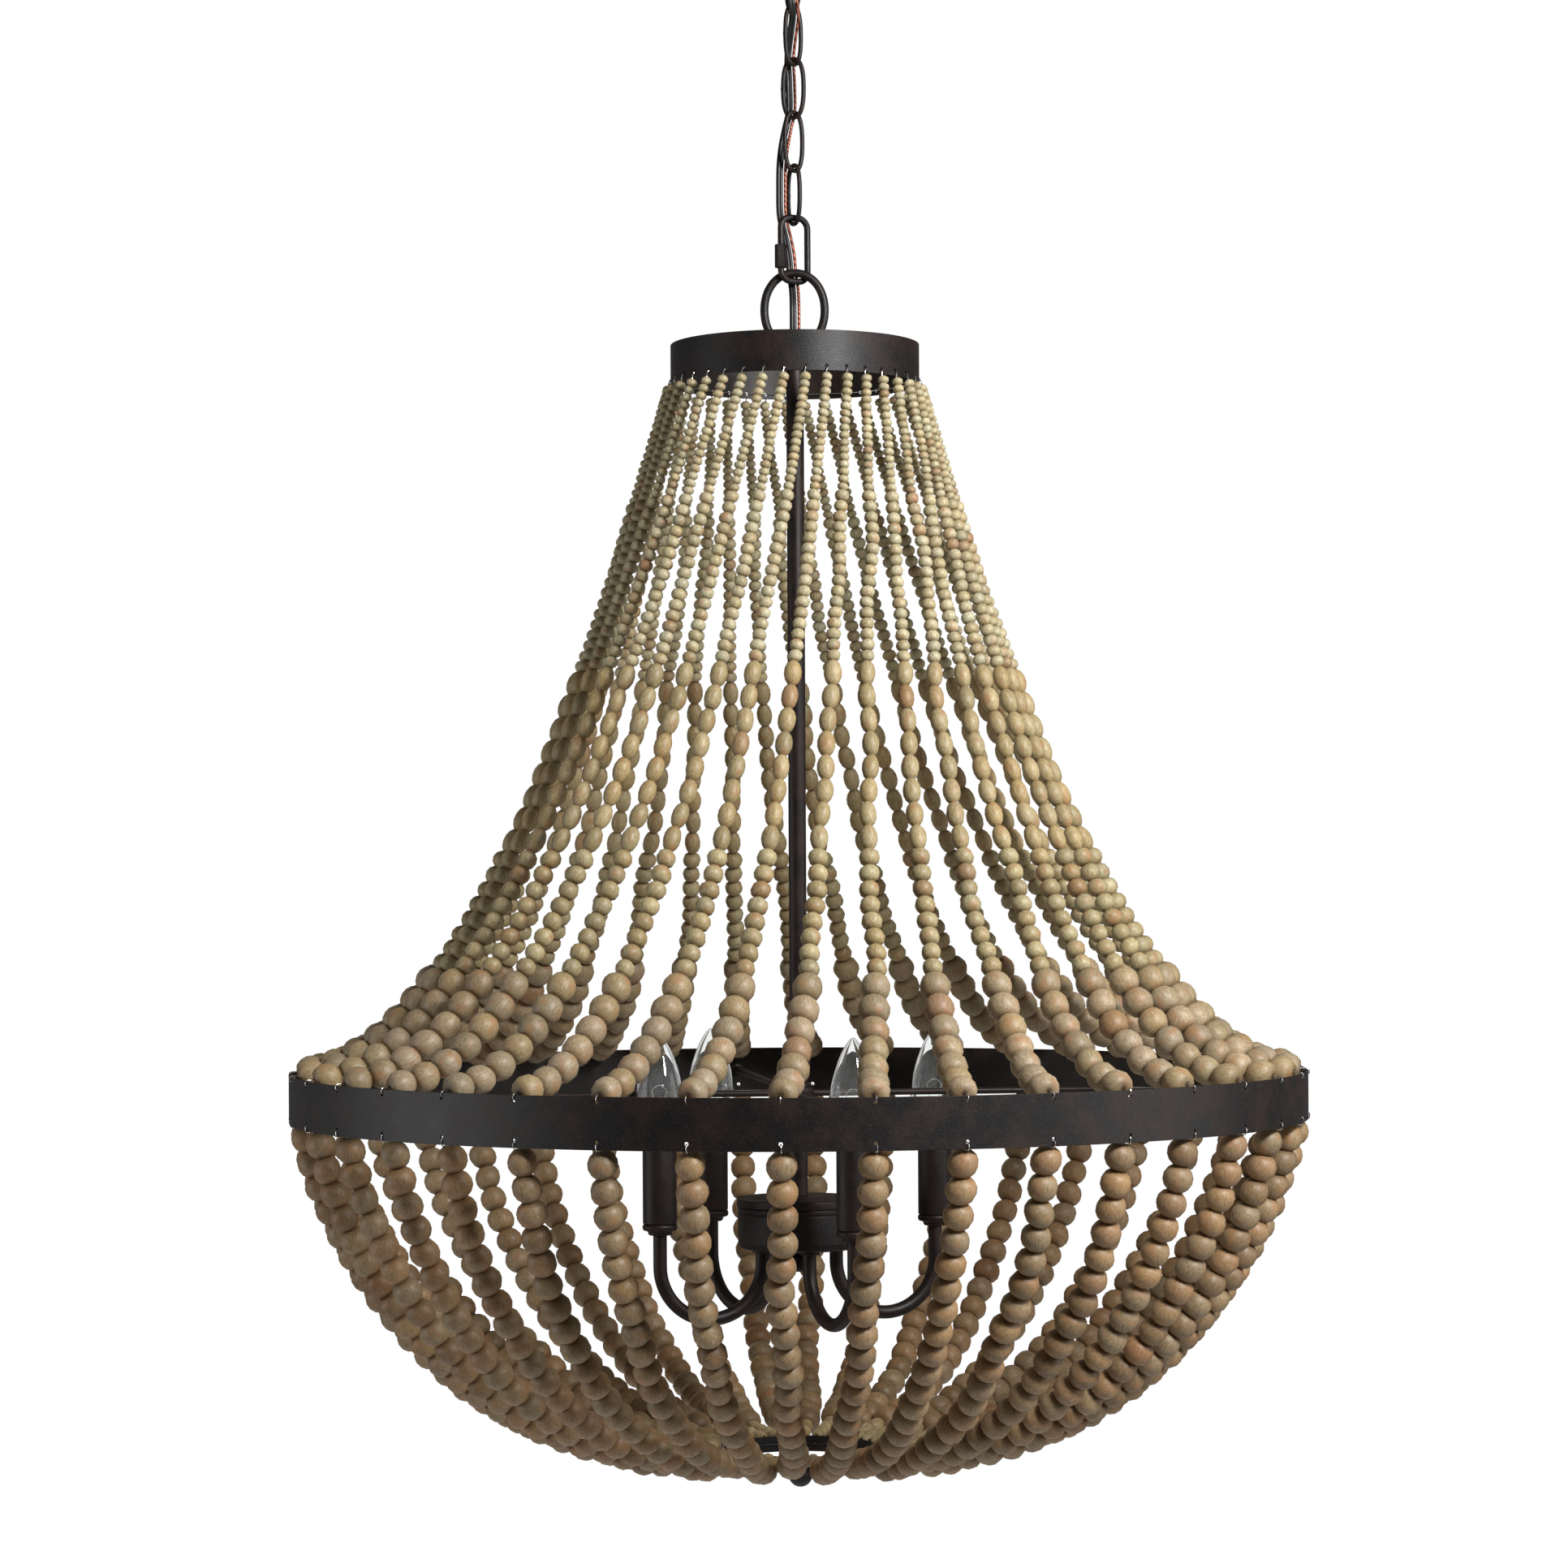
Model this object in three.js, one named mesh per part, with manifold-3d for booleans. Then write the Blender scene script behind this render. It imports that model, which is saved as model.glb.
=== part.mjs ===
// A beaded chandelier on a chain, in millimetres, +Z up, with the ceiling plane at z = 0.
// Thirty-eight bead strands run from a small top band to a wide hoop, and on under it to a small ring.
import * as THREE from "three";
import { mergeVertices } from "three/addons/utils/BufferGeometryUtils.js";
import Module from "manifold-3d";

const wasm = await Module();
wasm.setup();

// Clearance between pieces that touch, the overrun of a cutting tool, and how near two vertices are one
const fit = 0.3;
const overrun = 1;
const weld = 1e-4;

// Ceiling end: canopy, the crossbar inside its rim, nipple, and the loop that the chain hangs from
const canopy = { radius: 63.5, depth: 25, wall: 1.2, rim: 5, corner: 8 };
const crossbarEndClearance = 8.5;
const crossbar = {
  length: 2 * (canopy.radius - canopy.rim - crossbarEndClearance),
  width: 20,
  thickness: 2.5,
};
const nipple = { radius: 5.5, bore: 4.3, length: 31 };
const locknut = { radius: 8, height: 4 };
const loopCollar = { radius: 13, overlap: 6, length: 17 };
const collarNut = { radius: 18, height: 7 };
const canopyLoop = { outerRadius: 12.5, wire: 4, sink: 2 };
const circleRoundness = 2;

// Chain, quick link and the ring on top of the light
const chainLink = { length: 39.5, width: 17, wire: 2.9, roundness: 2.5 };
const chainTurns = [-56, 47, -25, 40, -59];
const quickLink = { length: 43.8, width: 24, wire: 4, corner: 6.8, turn: 34, gapHeight: 5, gapAboveNutBottom: 0.8 };
const quickNut = { radius: 3.9, height: 14.7, aboveBottomBend: 0.9 };
const ringLoop = {
  halfWidth: 21.5,
  halfHeight: 26,
  wire: 5.2,
  roundness: 2.1,
  neckRadius: 7.5,
  neckSink: 4,
  neckDrop: 6.3,
};
const ringSeatClearance = 0.6;

// Cords: a flat twin lead and a thin ground wire, laced through the chain into the stem
const powerCord = { width: 4.4, thickness: 2.6, sides: 8 };
const groundWire = { radius: 1, sides: 6 };
const wireBore = 4.3;

// Top band, hoop and bottom ring: rolled flat bar with a row of small holes for every strand
const strandCount = 38;
const hole = { radius: 1.25 };
const topBand = { radius: 78, height: 25, wall: 1.5, holeAboveBottom: 3, facets: 38 };
const hoop = { radius: 317.5, height: 29.8, wall: 1.5, holeBelowTop: 3, holeAboveBottom: 4.2, facets: 76 };
const bottomRing = { radius: 48, height: 10, wall: 1.5, holeBelowTop: 5, facets: 38 };
const hoopDrop = 454.3;
const bottomRingDrop = 236.2;
const topHoleAngle = 4.9;
const hoopHoleAngle = -1.8;
const strandTwistHoles = 2;

// Stem, hub and the spokes that carry the hoop
const stem = { radius: 5.5, belowHoop: 79.5 };
const bridge = { width: 16, thickness: 2.5, belowBandTop: 10.6 };
const hub = { radius: 9, height: 14, belowHoopTop: 7.7 };
const spoke = { radius: 2.1, firstAngle: 8, sides: 8 };
const spokeCount = 4;

// Candle cluster
const body = { radius: 38.5, height: 26.2, wall: 1.5, floor: 2, corner: 3 };
const lid = { radius: 39.2, height: 6 };
const finial = { radius: 6, height: 14.5, neckRadius: 3.5, taper: 4.8, neckHeight: 3.6 };
const arm = { radius: 4.25, legCircle: 24, reach: 67.7, straight: 8.6, insideBody: 6, sides: 8, bendSteps: 8 };
const armLegAngles = [195, 130, 285, 15];
const armTurns = [201, 127.4, 293.5, 21.5];
const cup = { radius: 10.9, height: 4.4, neckRadius: 7.4, neckHeight: 2.7, aboveBend: 19.7 };
const sleeve = { radius: 10.6, wall: 1.1, height: 50.8 };
const socket = { radius: 8.2, bore: 6.3, belowSleeveTop: 3.2, depth: 22 };
const bulb = { radius: 15.5, height: 68.4, baseRadius: 5.9, baseHeight: 22.5 };
const bulbOutlineShares = [[0.45, 0.02], [0.8, 0.14], [1, 0.32], [0.95, 0.5], [0.72, 0.72], [0.36, 0.91]];

// Strand shape: fallPower says how fast the fall of a curve dies out along its run, and startPower how
// gently it starts
const upperStrand = {
  wireOut: 0.8,
  startOut: 1.6,
  startBelowHole: 6,
  endIn: 5,
  endAboveHole: 4,
  fallPower: 1.93,
  startPower: 1.04,
};
const lowerStrand = {
  startIn: 7.5,
  startBelowHole: 5,
  endOut: 3.4,
  wireOut: 1.1,
  endAboveHole: 3.7,
  fallPower: 2.58,
  startPower: 0.726,
};
const wireRadius = 0.5;
const wireInsideHoop = 2;
const laceRadius = 0.7;
const strandSides = 4;
const strandGroups = 4;

// Bead sizes along a strand: how many, how thick and how long each kind is, and how many spans its tube has
const upperBeads = [
  { count: 16, radius: 3.5, length: 4.5, spans: 1 },
  { count: 16, radius: 4.5, length: 6.5, spans: 1 },
  { count: 8, radius: 5.2, length: 14.3, spans: 1 },
  { count: 8, radius: 6.1, length: 9.9, spans: 1 },
  { count: 7, radius: 8.9, length: 15, spans: 2, stepped: true },
];
const lowerBeads = [
  { count: 20, radius: 8.8, length: 15.4, spans: 5 },
  { count: 4, radius: 4.2, length: 13, spans: 1, stepped: true },
];
const beadFullnessShare = 0.93;
const stepShare = 0.25;

// Ball under the bottom ring
const strap = { width: 12, thickness: 2.5 };
const ball = { radius: 7.5, neckRadius: 3, stud: 2, studHeight: 6, nutRadius: 3.6, nutHeight: 2.4 };
const ballLatitudes = [-90, -64, -38, -12, 14, 40, 65];

// Materials
const material = (color, roughness, metalness) => new THREE.MeshStandardMaterial({ color, roughness, metalness });
const bronze = material("#2e2926", 0.55, 0.6);
const darkSleeve = material("#241f1d", 0.6, 0.1);
const blackCord = material("#1a1818", 0.5, 0);
const copper = material("#8a4a35", 0.35, 0.8);
const brassSocket = material("#a98f5c", 0.4, 0.9);
const glass = material("#e8eef0", 0.05, 0);
const wood = material("#a2937a", 0.6, 0);

// The merged form of a geometry, with positions only
function plain(geometry) {
  const bare = geometry.clone();
  bare.deleteAttribute("normal");
  bare.deleteAttribute("uv");
  return mergeVertices(bare, weld);
}

function solid(geometry) {
  const merged = plain(geometry);
  return new wasm.Manifold(
    new wasm.Mesh({
      numProp: 3,
      vertProperties: merged.attributes.position.array,
      triVerts: new Uint32Array(merged.index.array),
    }),
  );
}

function geometryOf(made) {
  const mesh = made.getMesh();
  const geometry = new THREE.BufferGeometry();
  geometry.setAttribute("position", new THREE.BufferAttribute(mesh.vertProperties, 3));
  geometry.setIndex(new THREE.BufferAttribute(mesh.triVerts, 1));
  geometry.computeVertexNormals();
  return geometry;
}

const join = (first, ...rest) => geometryOf(rest.reduce((sum, next) => sum.add(solid(next)), solid(first)));
const cut = (first, ...tools) => geometryOf(tools.reduce((left, tool) => left.subtract(solid(tool)), solid(first)));

// A turned piece around Z from [radius, z] points, given from the bottom up
function turned(profile, segments = 24) {
  const points = profile.map(([radius, z]) => new THREE.Vector2(radius, z));
  return new THREE.LatheGeometry(points, segments).rotateX(Math.PI / 2);
}

// A turned ring: the section closes on itself
function turnedRing(inner, outer, low, high, segments = 24) {
  return turned([[inner, low], [outer, low], [outer, high], [inner, high], [inner, low]], segments);
}

const rod = (radius, low, high, segments = 16) =>
  turned([[0, low], [radius, low], [radius, high], [0, high]], segments);

// A hexagonal nut with a round bore
function hexNut(bore, radius, low, high) {
  return cut(rod(radius, low, high, 6), rod(bore, low - overrun, high + overrun, 12));
}

const box = (width, depth, height, x, y, z) => new THREE.BoxGeometry(width, depth, height).translate(x, y, z);

// A tube through the given points. Each point has a radius, or one radius along the given direction and one
// across it. A closed tube joins its ends.
function sweptTube(points, radii, sides, { closed = false, across = null } = {}) {
  const count = points.length;
  const positions = [];
  const indices = [];
  let normal = across;
  for (let i = 0; i < count; i++) {
    const before = points[closed ? (i - 1 + count) % count : Math.max(i - 1, 0)];
    const after = points[closed ? (i + 1) % count : Math.min(i + 1, count - 1)];
    const tangent = after.clone().sub(before).normalize();
    const steep = Math.abs(tangent.z) > 0.9;
    const guide = normal ?? (steep ? new THREE.Vector3(1, 0, 0) : new THREE.Vector3(0, 0, 1));
    normal = guide.clone().addScaledVector(tangent, -guide.dot(tangent)).normalize();
    const binormal = tangent.clone().cross(normal);
    const [alongNormal, alongBinormal] = Array.isArray(radii[i]) ? radii[i] : [radii[i], radii[i]];
    for (let k = 0; k < sides; k++) {
      const angle = (2 * Math.PI * k) / sides;
      const point = points[i].clone();
      point.addScaledVector(normal, alongNormal * Math.cos(angle));
      point.addScaledVector(binormal, alongBinormal * Math.sin(angle));
      positions.push(point.x, point.y, point.z);
    }
  }
  const spans = closed ? count : count - 1;
  for (let i = 0; i < spans; i++) {
    for (let k = 0; k < sides; k++) {
      const a = i * sides + k;
      const b = i * sides + ((k + 1) % sides);
      const c = ((i + 1) % count) * sides + k;
      const d = ((i + 1) % count) * sides + ((k + 1) % sides);
      indices.push(a, b, c, b, d, c);
    }
  }
  if (!closed) {
    const last = (count - 1) * sides;
    for (let k = 1; k < sides - 1; k++) indices.push(0, k + 1, k, last, last + k, last + k + 1);
  }
  const geometry = new THREE.BufferGeometry();
  geometry.setAttribute("position", new THREE.Float32BufferAttribute(positions, 3));
  geometry.setIndex(indices);
  geometry.computeVertexNormals();
  return geometry;
}

const atAngle = (radius, degrees, z) => {
  const angle = THREE.MathUtils.degToRad(degrees);
  return new THREE.Vector3(radius * Math.cos(angle), radius * Math.sin(angle), z);
};

// The front of the light faces -Y, and strand angles are counted from there towards +X
const fromFront = (radius, degrees, z) => atAngle(radius, degrees - 90, z);

const root = new THREE.Group();

function add(name, geometry, finish, parent = root) {
  const mesh = new THREE.Mesh(geometry, finish);
  mesh.name = name;
  parent.add(mesh);
  return mesh;
}

// Heights and radii that follow from the sizes above
const nippleTop = -fit;
const nippleBottom = nippleTop - nipple.length;
const canopyBottom = -canopy.depth;
const collarTop = canopyBottom + loopCollar.overlap;
const collarBottom = collarTop - loopCollar.length;
const canopyLoopRadius = canopyLoop.outerRadius - canopyLoop.wire / 2;
const canopyLoopCentre = collarBottom - canopyLoop.outerRadius + canopyLoop.sink;
const canopyLoopBottom = canopyLoopCentre - canopyLoopRadius;
const chainTop = canopyLoopBottom + (canopyLoop.wire + chainLink.wire) / 2 + fit;
const chainPitch = chainLink.length - 2 * chainLink.wire - fit;
const lastLinkBottom = chainTop - (chainTurns.length - 1) * chainPitch - (chainLink.length - chainLink.wire);
const quickTop = lastLinkBottom + (chainLink.wire + quickLink.wire) / 2 + fit;
const quickBottom = quickTop - (quickLink.length - quickLink.wire);
const ringHalfWidth = ringLoop.halfWidth - ringLoop.wire / 2;
const ringHalfHeight = ringLoop.halfHeight - ringLoop.wire / 2;
const ringTop = quickBottom + (quickLink.wire + ringLoop.wire) / 2 + ringSeatClearance;
const ringCentre = ringTop - ringHalfHeight;
const neckTop = ringCentre - ringLoop.halfHeight + ringLoop.neckSink;
const neckBottom = neckTop - ringLoop.neckDrop - ringLoop.neckSink;
const bridgeTop = neckBottom - fit;
const bridgeBottom = bridgeTop - bridge.thickness;
const topBandTop = bridgeTop + bridge.belowBandTop;
const topBandBottom = topBandTop - topBand.height;
const hoopTop = topBandTop - hoopDrop;
const hoopBottom = hoopTop - hoop.height;
const hubTop = hoopTop - hub.belowHoopTop;
const hubBottom = hubTop - hub.height;
const spokeHeight = (hubTop + hubBottom) / 2;
const lidTop = hoopTop - stem.belowHoop;
const lidBottom = lidTop - lid.height;
const bodyTop = lidBottom - fit;
const bodyBottom = bodyTop - body.height;
const bendCentre = bodyBottom - arm.straight;
const cupBottom = bendCentre + cup.aboveBend;
const sleeveBottom = cupBottom + cup.neckHeight + cup.height + fit;
const sleeveTop = sleeveBottom + sleeve.height;
const socketTop = sleeveTop - socket.belowSleeveTop;
const socketFloor = socketTop - socket.depth;
const bulbBaseBottom = socketFloor + fit;
const bulbGlassBottom = bulbBaseBottom + bulb.baseHeight;
const bottomRingTop = hoopTop - bottomRingDrop;
const bottomRingBottom = bottomRingTop - bottomRing.height;
const topHoleZ = topBandBottom + topBand.holeAboveBottom;
const hoopUpperHoleZ = hoopTop - hoop.holeBelowTop;
const hoopLowerHoleZ = hoopBottom + hoop.holeAboveBottom;
const ringHoleZ = bottomRingTop - bottomRing.holeBelowTop;
const topLaceRadius = topBand.radius - topBand.wall - fit - laceRadius;
const ringLaceRadius = bottomRing.radius - bottomRing.wall - fit - laceRadius;
const hoopWireRadius = hoop.radius - hoop.wall - wireInsideHoop;

// Ceiling end
function buildCeilingEnd() {
  const bar = box(crossbar.length, crossbar.width, crossbar.thickness, 0, 0, -crossbar.thickness / 2);
  const barHole = rod(nipple.radius + fit, -crossbar.thickness - overrun, overrun);
  add("ceiling_crossbar", cut(bar, barHole), bronze);

  add("threaded_nipple", turnedRing(nipple.bore, nipple.radius, nippleBottom, nippleTop, 16), brassSocket);

  const nutTop = -crossbar.thickness - fit;
  add("nipple_locknut", hexNut(nipple.radius + fit, locknut.radius, nutTop - locknut.height, nutTop), bronze);

  const bore = loopCollar.radius + fit;
  const inner = canopy.radius - canopy.wall;
  const shell = turned(
    [
      [bore, canopyBottom],
      [canopy.radius - canopy.corner, canopyBottom],
      [canopy.radius, canopyBottom + canopy.corner],
      [canopy.radius, 0],
      [canopy.radius - canopy.rim, 0],
      [canopy.radius - canopy.rim, -canopy.wall],
      [inner, -canopy.wall],
      [inner, canopyBottom + canopy.corner],
      [canopy.radius - canopy.corner, canopyBottom + canopy.wall],
      [bore, canopyBottom + canopy.wall],
      [bore, canopyBottom],
    ],
    28,
  );
  add("canopy", shell, bronze);

  const nutHigh = canopyBottom - fit;
  add("canopy_collar_nut", turnedRing(bore, collarNut.radius, nutHigh - collarNut.height, nutHigh, 20), bronze);

  const collar = rod(loopCollar.radius, collarBottom, collarTop, 20);
  const circle = ringPoints(canopyLoopRadius, canopyLoopRadius, canopyLoopCentre, circleRoundness, 16);
  const ring = sweptTube(circle, circle.map(() => canopyLoop.wire / 2), 8, {
    closed: true,
    across: new THREE.Vector3(0, 1, 0),
  });
  const throat = rod(wireBore, canopyLoopCentre, nippleBottom);
  const seat = rod(nipple.radius + fit, nippleBottom - fit, collarTop + overrun);
  const loop = solid(collar).add(solid(ring)).subtract(solid(throat)).subtract(solid(seat));
  add("canopy_loop", geometryOf(loop), bronze);
}

// A loop in the XZ plane: a circle or an oval at roundness 2, squarer above it
function ringPoints(halfWidth, halfHeight, centreZ, roundness, steps) {
  const power = 2 / roundness;
  return Array.from({ length: steps }, (_, i) => {
    const angle = (2 * Math.PI * i) / steps;
    const across = Math.sign(Math.sin(angle)) * Math.abs(Math.sin(angle)) ** power;
    const along = Math.sign(Math.cos(angle)) * Math.abs(Math.cos(angle)) ** power;
    return new THREE.Vector3(halfWidth * across, 0, centreZ + halfHeight * along);
  });
}

// Chain links: barrel-shaped loops, each turned about the vertical as it hangs
function buildChain() {
  const halfWidth = (chainLink.width - chainLink.wire) / 2;
  const halfLength = (chainLink.length - chainLink.wire) / 2;
  const outline = ringPoints(halfWidth, halfLength, 0, chainLink.roundness, 16);
  chainTurns.forEach((turn, i) => {
    const link = sweptTube(outline, outline.map(() => chainLink.wire / 2), 6, {
      closed: true,
      across: new THREE.Vector3(0, 1, 0),
    });
    const mesh = add(`chain_link_${i + 1}`, link, bronze);
    mesh.position.z = chainTop - i * chainPitch - halfLength;
    mesh.rotation.z = THREE.MathUtils.degToRad(turn);
  });
}

// Quick link: a rounded oblong of wire, open on one leg where its threaded sleeve closes it
function buildQuickLink() {
  const halfWidth = (quickLink.width - quickLink.wire) / 2;
  const halfLength = (quickLink.length - quickLink.wire) / 2;
  const bend = quickLink.corner;
  const centre = (quickTop + quickBottom) / 2;
  const nutLow = -halfLength + bend + quickNut.aboveBottomBend;
  const nutHigh = nutLow + quickNut.height;
  const gapLow = nutLow + quickLink.gapAboveNutBottom;
  const corner = (sideX, sideZ, from) =>
    [0, 30, 60, 90].map((step) => {
      const angle = THREE.MathUtils.degToRad(from + step);
      const x = sideX * (halfWidth - bend) + bend * Math.sin(angle);
      const z = sideZ * (halfLength - bend) + bend * Math.cos(angle);
      return new THREE.Vector3(x, 0, z);
    });
  const path = [
    new THREE.Vector3(-halfWidth, 0, gapLow + quickLink.gapHeight),
    ...corner(-1, 1, -90),
    ...corner(1, 1, 0),
    ...corner(1, -1, 90),
    ...corner(-1, -1, 180),
    new THREE.Vector3(-halfWidth, 0, gapLow),
  ];
  const group = new THREE.Group();
  group.position.z = centre;
  group.rotation.z = THREE.MathUtils.degToRad(quickLink.turn);
  root.add(group);
  const wire = sweptTube(path, path.map(() => quickLink.wire / 2), 8, { across: new THREE.Vector3(0, 1, 0) });
  add("quick_link", wire, bronze, group);
  const nut = hexNut(quickLink.wire / 2 + fit, quickNut.radius, nutLow, nutHigh);
  add("quick_link_nut", nut.translate(-halfWidth, 0, 0), bronze, group);
}

// The oval ring on top of the light, with a bored neck that seats on the bridge
function buildRingLoop() {
  const oval = ringPoints(ringHalfWidth, ringHalfHeight, ringCentre, ringLoop.roundness, 28);
  const ring = sweptTube(oval, oval.map(() => ringLoop.wire / 2), 8, {
    closed: true,
    across: new THREE.Vector3(0, 1, 0),
  });
  const neck = rod(ringLoop.neckRadius, neckBottom, neckTop);
  const throat = rod(wireBore, neckBottom - overrun, ringCentre);
  add("ring_loop", geometryOf(solid(ring).add(solid(neck)).subtract(solid(throat))), bronze);
}

// A rolled band with a row of holes at each given height
function band({ radius, wall, facets }, low, high, rows) {
  const ring = solid(turnedRing(radius - wall, radius, low, high, facets));
  const holes = rows.flatMap(({ z, firstAngle }) =>
    Array.from({ length: strandCount }, (_, k) => {
      const angle = firstAngle + (k * 360) / strandCount;
      const ends = [radius - wall - overrun, radius + overrun].map((r) => fromFront(r, angle, z));
      return solid(sweptTube(ends, [hole.radius, hole.radius], 4));
    }),
  );
  return geometryOf(holes.reduce((left, tool) => left.subtract(tool), ring));
}

function buildBands() {
  add("top_band", band(topBand, topBandBottom, topBandTop, [{ z: topHoleZ, firstAngle: topHoleAngle }]), bronze);
  const rows = [hoopUpperHoleZ, hoopLowerHoleZ].map((z) => ({ z, firstAngle: hoopHoleAngle }));
  add("hoop_band", band(hoop, hoopBottom, hoopTop, rows), bronze);
  const ringRow = [{ z: ringHoleZ, firstAngle: hoopHoleAngle }];
  add("bottom_ring", band(bottomRing, bottomRingBottom, bottomRingTop, ringRow), bronze);
}

// Length of a bar that ends on the inside wall of a band
const chordInside = ({ radius, wall }, width) => 2 * (Math.sqrt((radius - wall) ** 2 - (width / 2) ** 2) - 2 * fit);

function buildFrame() {
  const bar = box(
    chordInside(topBand, bridge.width), bridge.width, bridge.thickness,
    0, 0, (bridgeTop + bridgeBottom) / 2,
  );
  add("top_bridge", cut(bar, rod(wireBore, bridgeBottom - overrun, bridgeTop + overrun)), bronze);
  add("stem_upper", turnedRing(wireBore, stem.radius, hubTop + fit, bridgeBottom - fit, 16), bronze);
  add("stem_lower", turnedRing(wireBore, stem.radius, lidTop + fit, hubBottom - fit, 16), bronze);
  add("spoke_hub", turnedRing(wireBore, hub.radius, hubBottom, hubTop, 20), bronze);
  for (let i = 0; i < spokeCount; i++) {
    const angle = spoke.firstAngle + (i * 360) / spokeCount;
    const ends = [hub.radius + fit, hoop.radius - hoop.wall - 2 * fit].map((r) => atAngle(r, angle, spokeHeight));
    add(`spoke_${i + 1}`, sweptTube(ends, [spoke.radius, spoke.radius], spoke.sides), bronze);
  }
}

// Candle cluster: a lidded drum, four J-shaped arms and what each arm carries
function buildCluster() {
  add("cluster_lid", turnedRing(wireBore, lid.radius, lidBottom, lidTop, 24), bronze);
  const inner = body.radius - body.wall;
  const drum = turned(
    [
      [0, bodyBottom],
      [body.radius - body.corner, bodyBottom],
      [body.radius, bodyBottom + body.corner],
      [body.radius, bodyTop],
      [inner, bodyTop],
      [inner, bodyBottom + body.corner],
      [inner - body.corner, bodyBottom + body.floor],
      [0, bodyBottom + body.floor],
    ],
    24,
  );
  const holes = armLegAngles.map((angle) => {
    const place = atAngle(arm.legCircle, angle, 0);
    const tool = rod(arm.radius + fit, bodyBottom - overrun, bodyBottom + body.floor + overrun, 12);
    return tool.translate(place.x, place.y, 0);
  });
  add("cluster_body", cut(drum, ...holes), bronze);
  const finialTop = bodyBottom - fit;
  const finialBottom = finialTop - finial.height;
  add(
    "cluster_finial",
    turned(
      [
        [0, finialBottom],
        [finial.neckRadius, finialBottom],
        [finial.radius, finialBottom + finial.taper],
        [finial.radius, finialTop - finial.taper],
        [finial.neckRadius, finialTop - finial.neckHeight],
        [finial.neckRadius, finialTop],
        [0, finialTop],
      ],
      12,
    ),
    bronze,
  );
  armLegAngles.forEach((legAngle, i) => buildArm(i + 1, legAngle, armTurns[i]));
}

function buildArm(number, legAngle, turn) {
  const group = new THREE.Group();
  group.position.copy(atAngle(arm.legCircle, legAngle, 0));
  group.rotation.z = THREE.MathUtils.degToRad(turn);
  root.add(group);

  const bendRadius = arm.reach / 2;
  const path = [new THREE.Vector3(0, 0, bodyBottom + arm.insideBody)];
  for (let i = 0; i <= arm.bendSteps; i++) {
    const angle = (Math.PI * i) / arm.bendSteps;
    const x = bendRadius * (1 - Math.cos(angle));
    path.push(new THREE.Vector3(x, 0, bendCentre - bendRadius * Math.sin(angle)));
  }
  path.push(new THREE.Vector3(arm.reach, 0, cupBottom - fit));
  const tube = sweptTube(path, path.map(() => arm.radius), arm.sides, { across: new THREE.Vector3(0, 1, 0) });
  add(`arm_${number}`, tube, bronze, group);

  const candle = new THREE.Group();
  candle.position.x = arm.reach;
  group.add(candle);
  const discBottom = cupBottom + cup.neckHeight;
  const cupShape = turned(
    [
      [0, cupBottom],
      [cup.neckRadius, cupBottom],
      [cup.neckRadius, discBottom],
      [cup.radius, discBottom],
      [cup.radius, discBottom + cup.height],
      [0, discBottom + cup.height],
    ],
    12,
  );
  add(`candle_cup_${number}`, cupShape, bronze, candle);
  const cover = turnedRing(sleeve.radius - sleeve.wall, sleeve.radius, sleeveBottom, sleeveTop, 16);
  add(`candle_sleeve_${number}`, cover, darkSleeve, candle);
  const holder = turned(
    [
      [0, sleeveBottom],
      [socket.radius, sleeveBottom],
      [socket.radius, socketTop],
      [socket.bore, socketTop],
      [socket.bore, socketFloor],
      [0, socketFloor],
    ],
    12,
  );
  add(`lamp_socket_${number}`, holder, brassSocket, candle);
  const lamp = turned(
    [
      [0, bulbBaseBottom],
      [bulb.baseRadius, bulbBaseBottom],
      [bulb.baseRadius, bulbGlassBottom],
      ...bulbOutlineShares.map(([wide, high]) => [bulb.radius * wide, bulbGlassBottom + bulb.height * high]),
      [0, bulbGlassBottom + bulb.height],
    ],
    12,
  );
  add(`bulb_${number}`, lamp, glass, candle);
}

// The run of one strand from its first bead to its last: straight in plan, with its fall dying out
function strandCurve(start, end, fallPower, startPower) {
  return (share) => {
    const point = start.clone().lerp(end, share);
    const fall = (1 - (1 - share) ** fallPower) ** startPower;
    point.z = start.z + (end.z - start.z) * fall;
    return point;
  };
}

// Points and radii of a strand's beads: closed in to the wire at both ends, with a point at each change
// of bead and more along the stretches that bend
function beadRun(curve, kinds) {
  const samples = 80;
  const shares = Array.from({ length: samples + 1 }, (_, i) => i / samples);
  const lengths = [0];
  shares.slice(1).forEach((share, i) => lengths.push(lengths[i] + curve(share).distanceTo(curve(shares[i]))));
  const whole = lengths[samples];
  const beadTotal = kinds.reduce((sum, { count, length }) => sum + count * length, 0);
  const pointAt = (along) => {
    const target = Math.min((along / beadTotal) * whole, whole);
    const i = Math.max(1, lengths.findIndex((value) => value >= target));
    const inside = (target - lengths[i - 1]) / (lengths[i] - lengths[i - 1]);
    return curve(Math.min(1, (i - 1 + inside) / samples));
  };
  const points = [pointAt(0)];
  const radii = [wireRadius];
  const place = (along, radius) => {
    points.push(pointAt(along));
    radii.push(radius * beadFullnessShare);
  };
  place(kinds[0].length / 2, kinds[0].radius);
  let done = 0;
  kinds.forEach(({ count, radius, length, spans, stepped }, kind) => {
    if (stepped) place(done + length * stepShare, radius);
    const last = kind === kinds.length - 1;
    const run = count * length - (last ? length / 2 : 0);
    for (let i = 1; i <= spans; i++) place(done + (run * i) / spans, radius);
    done += count * length;
  });
  points.push(pointAt(beadTotal));
  radii.push(wireRadius);
  return { points, radii };
}

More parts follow.
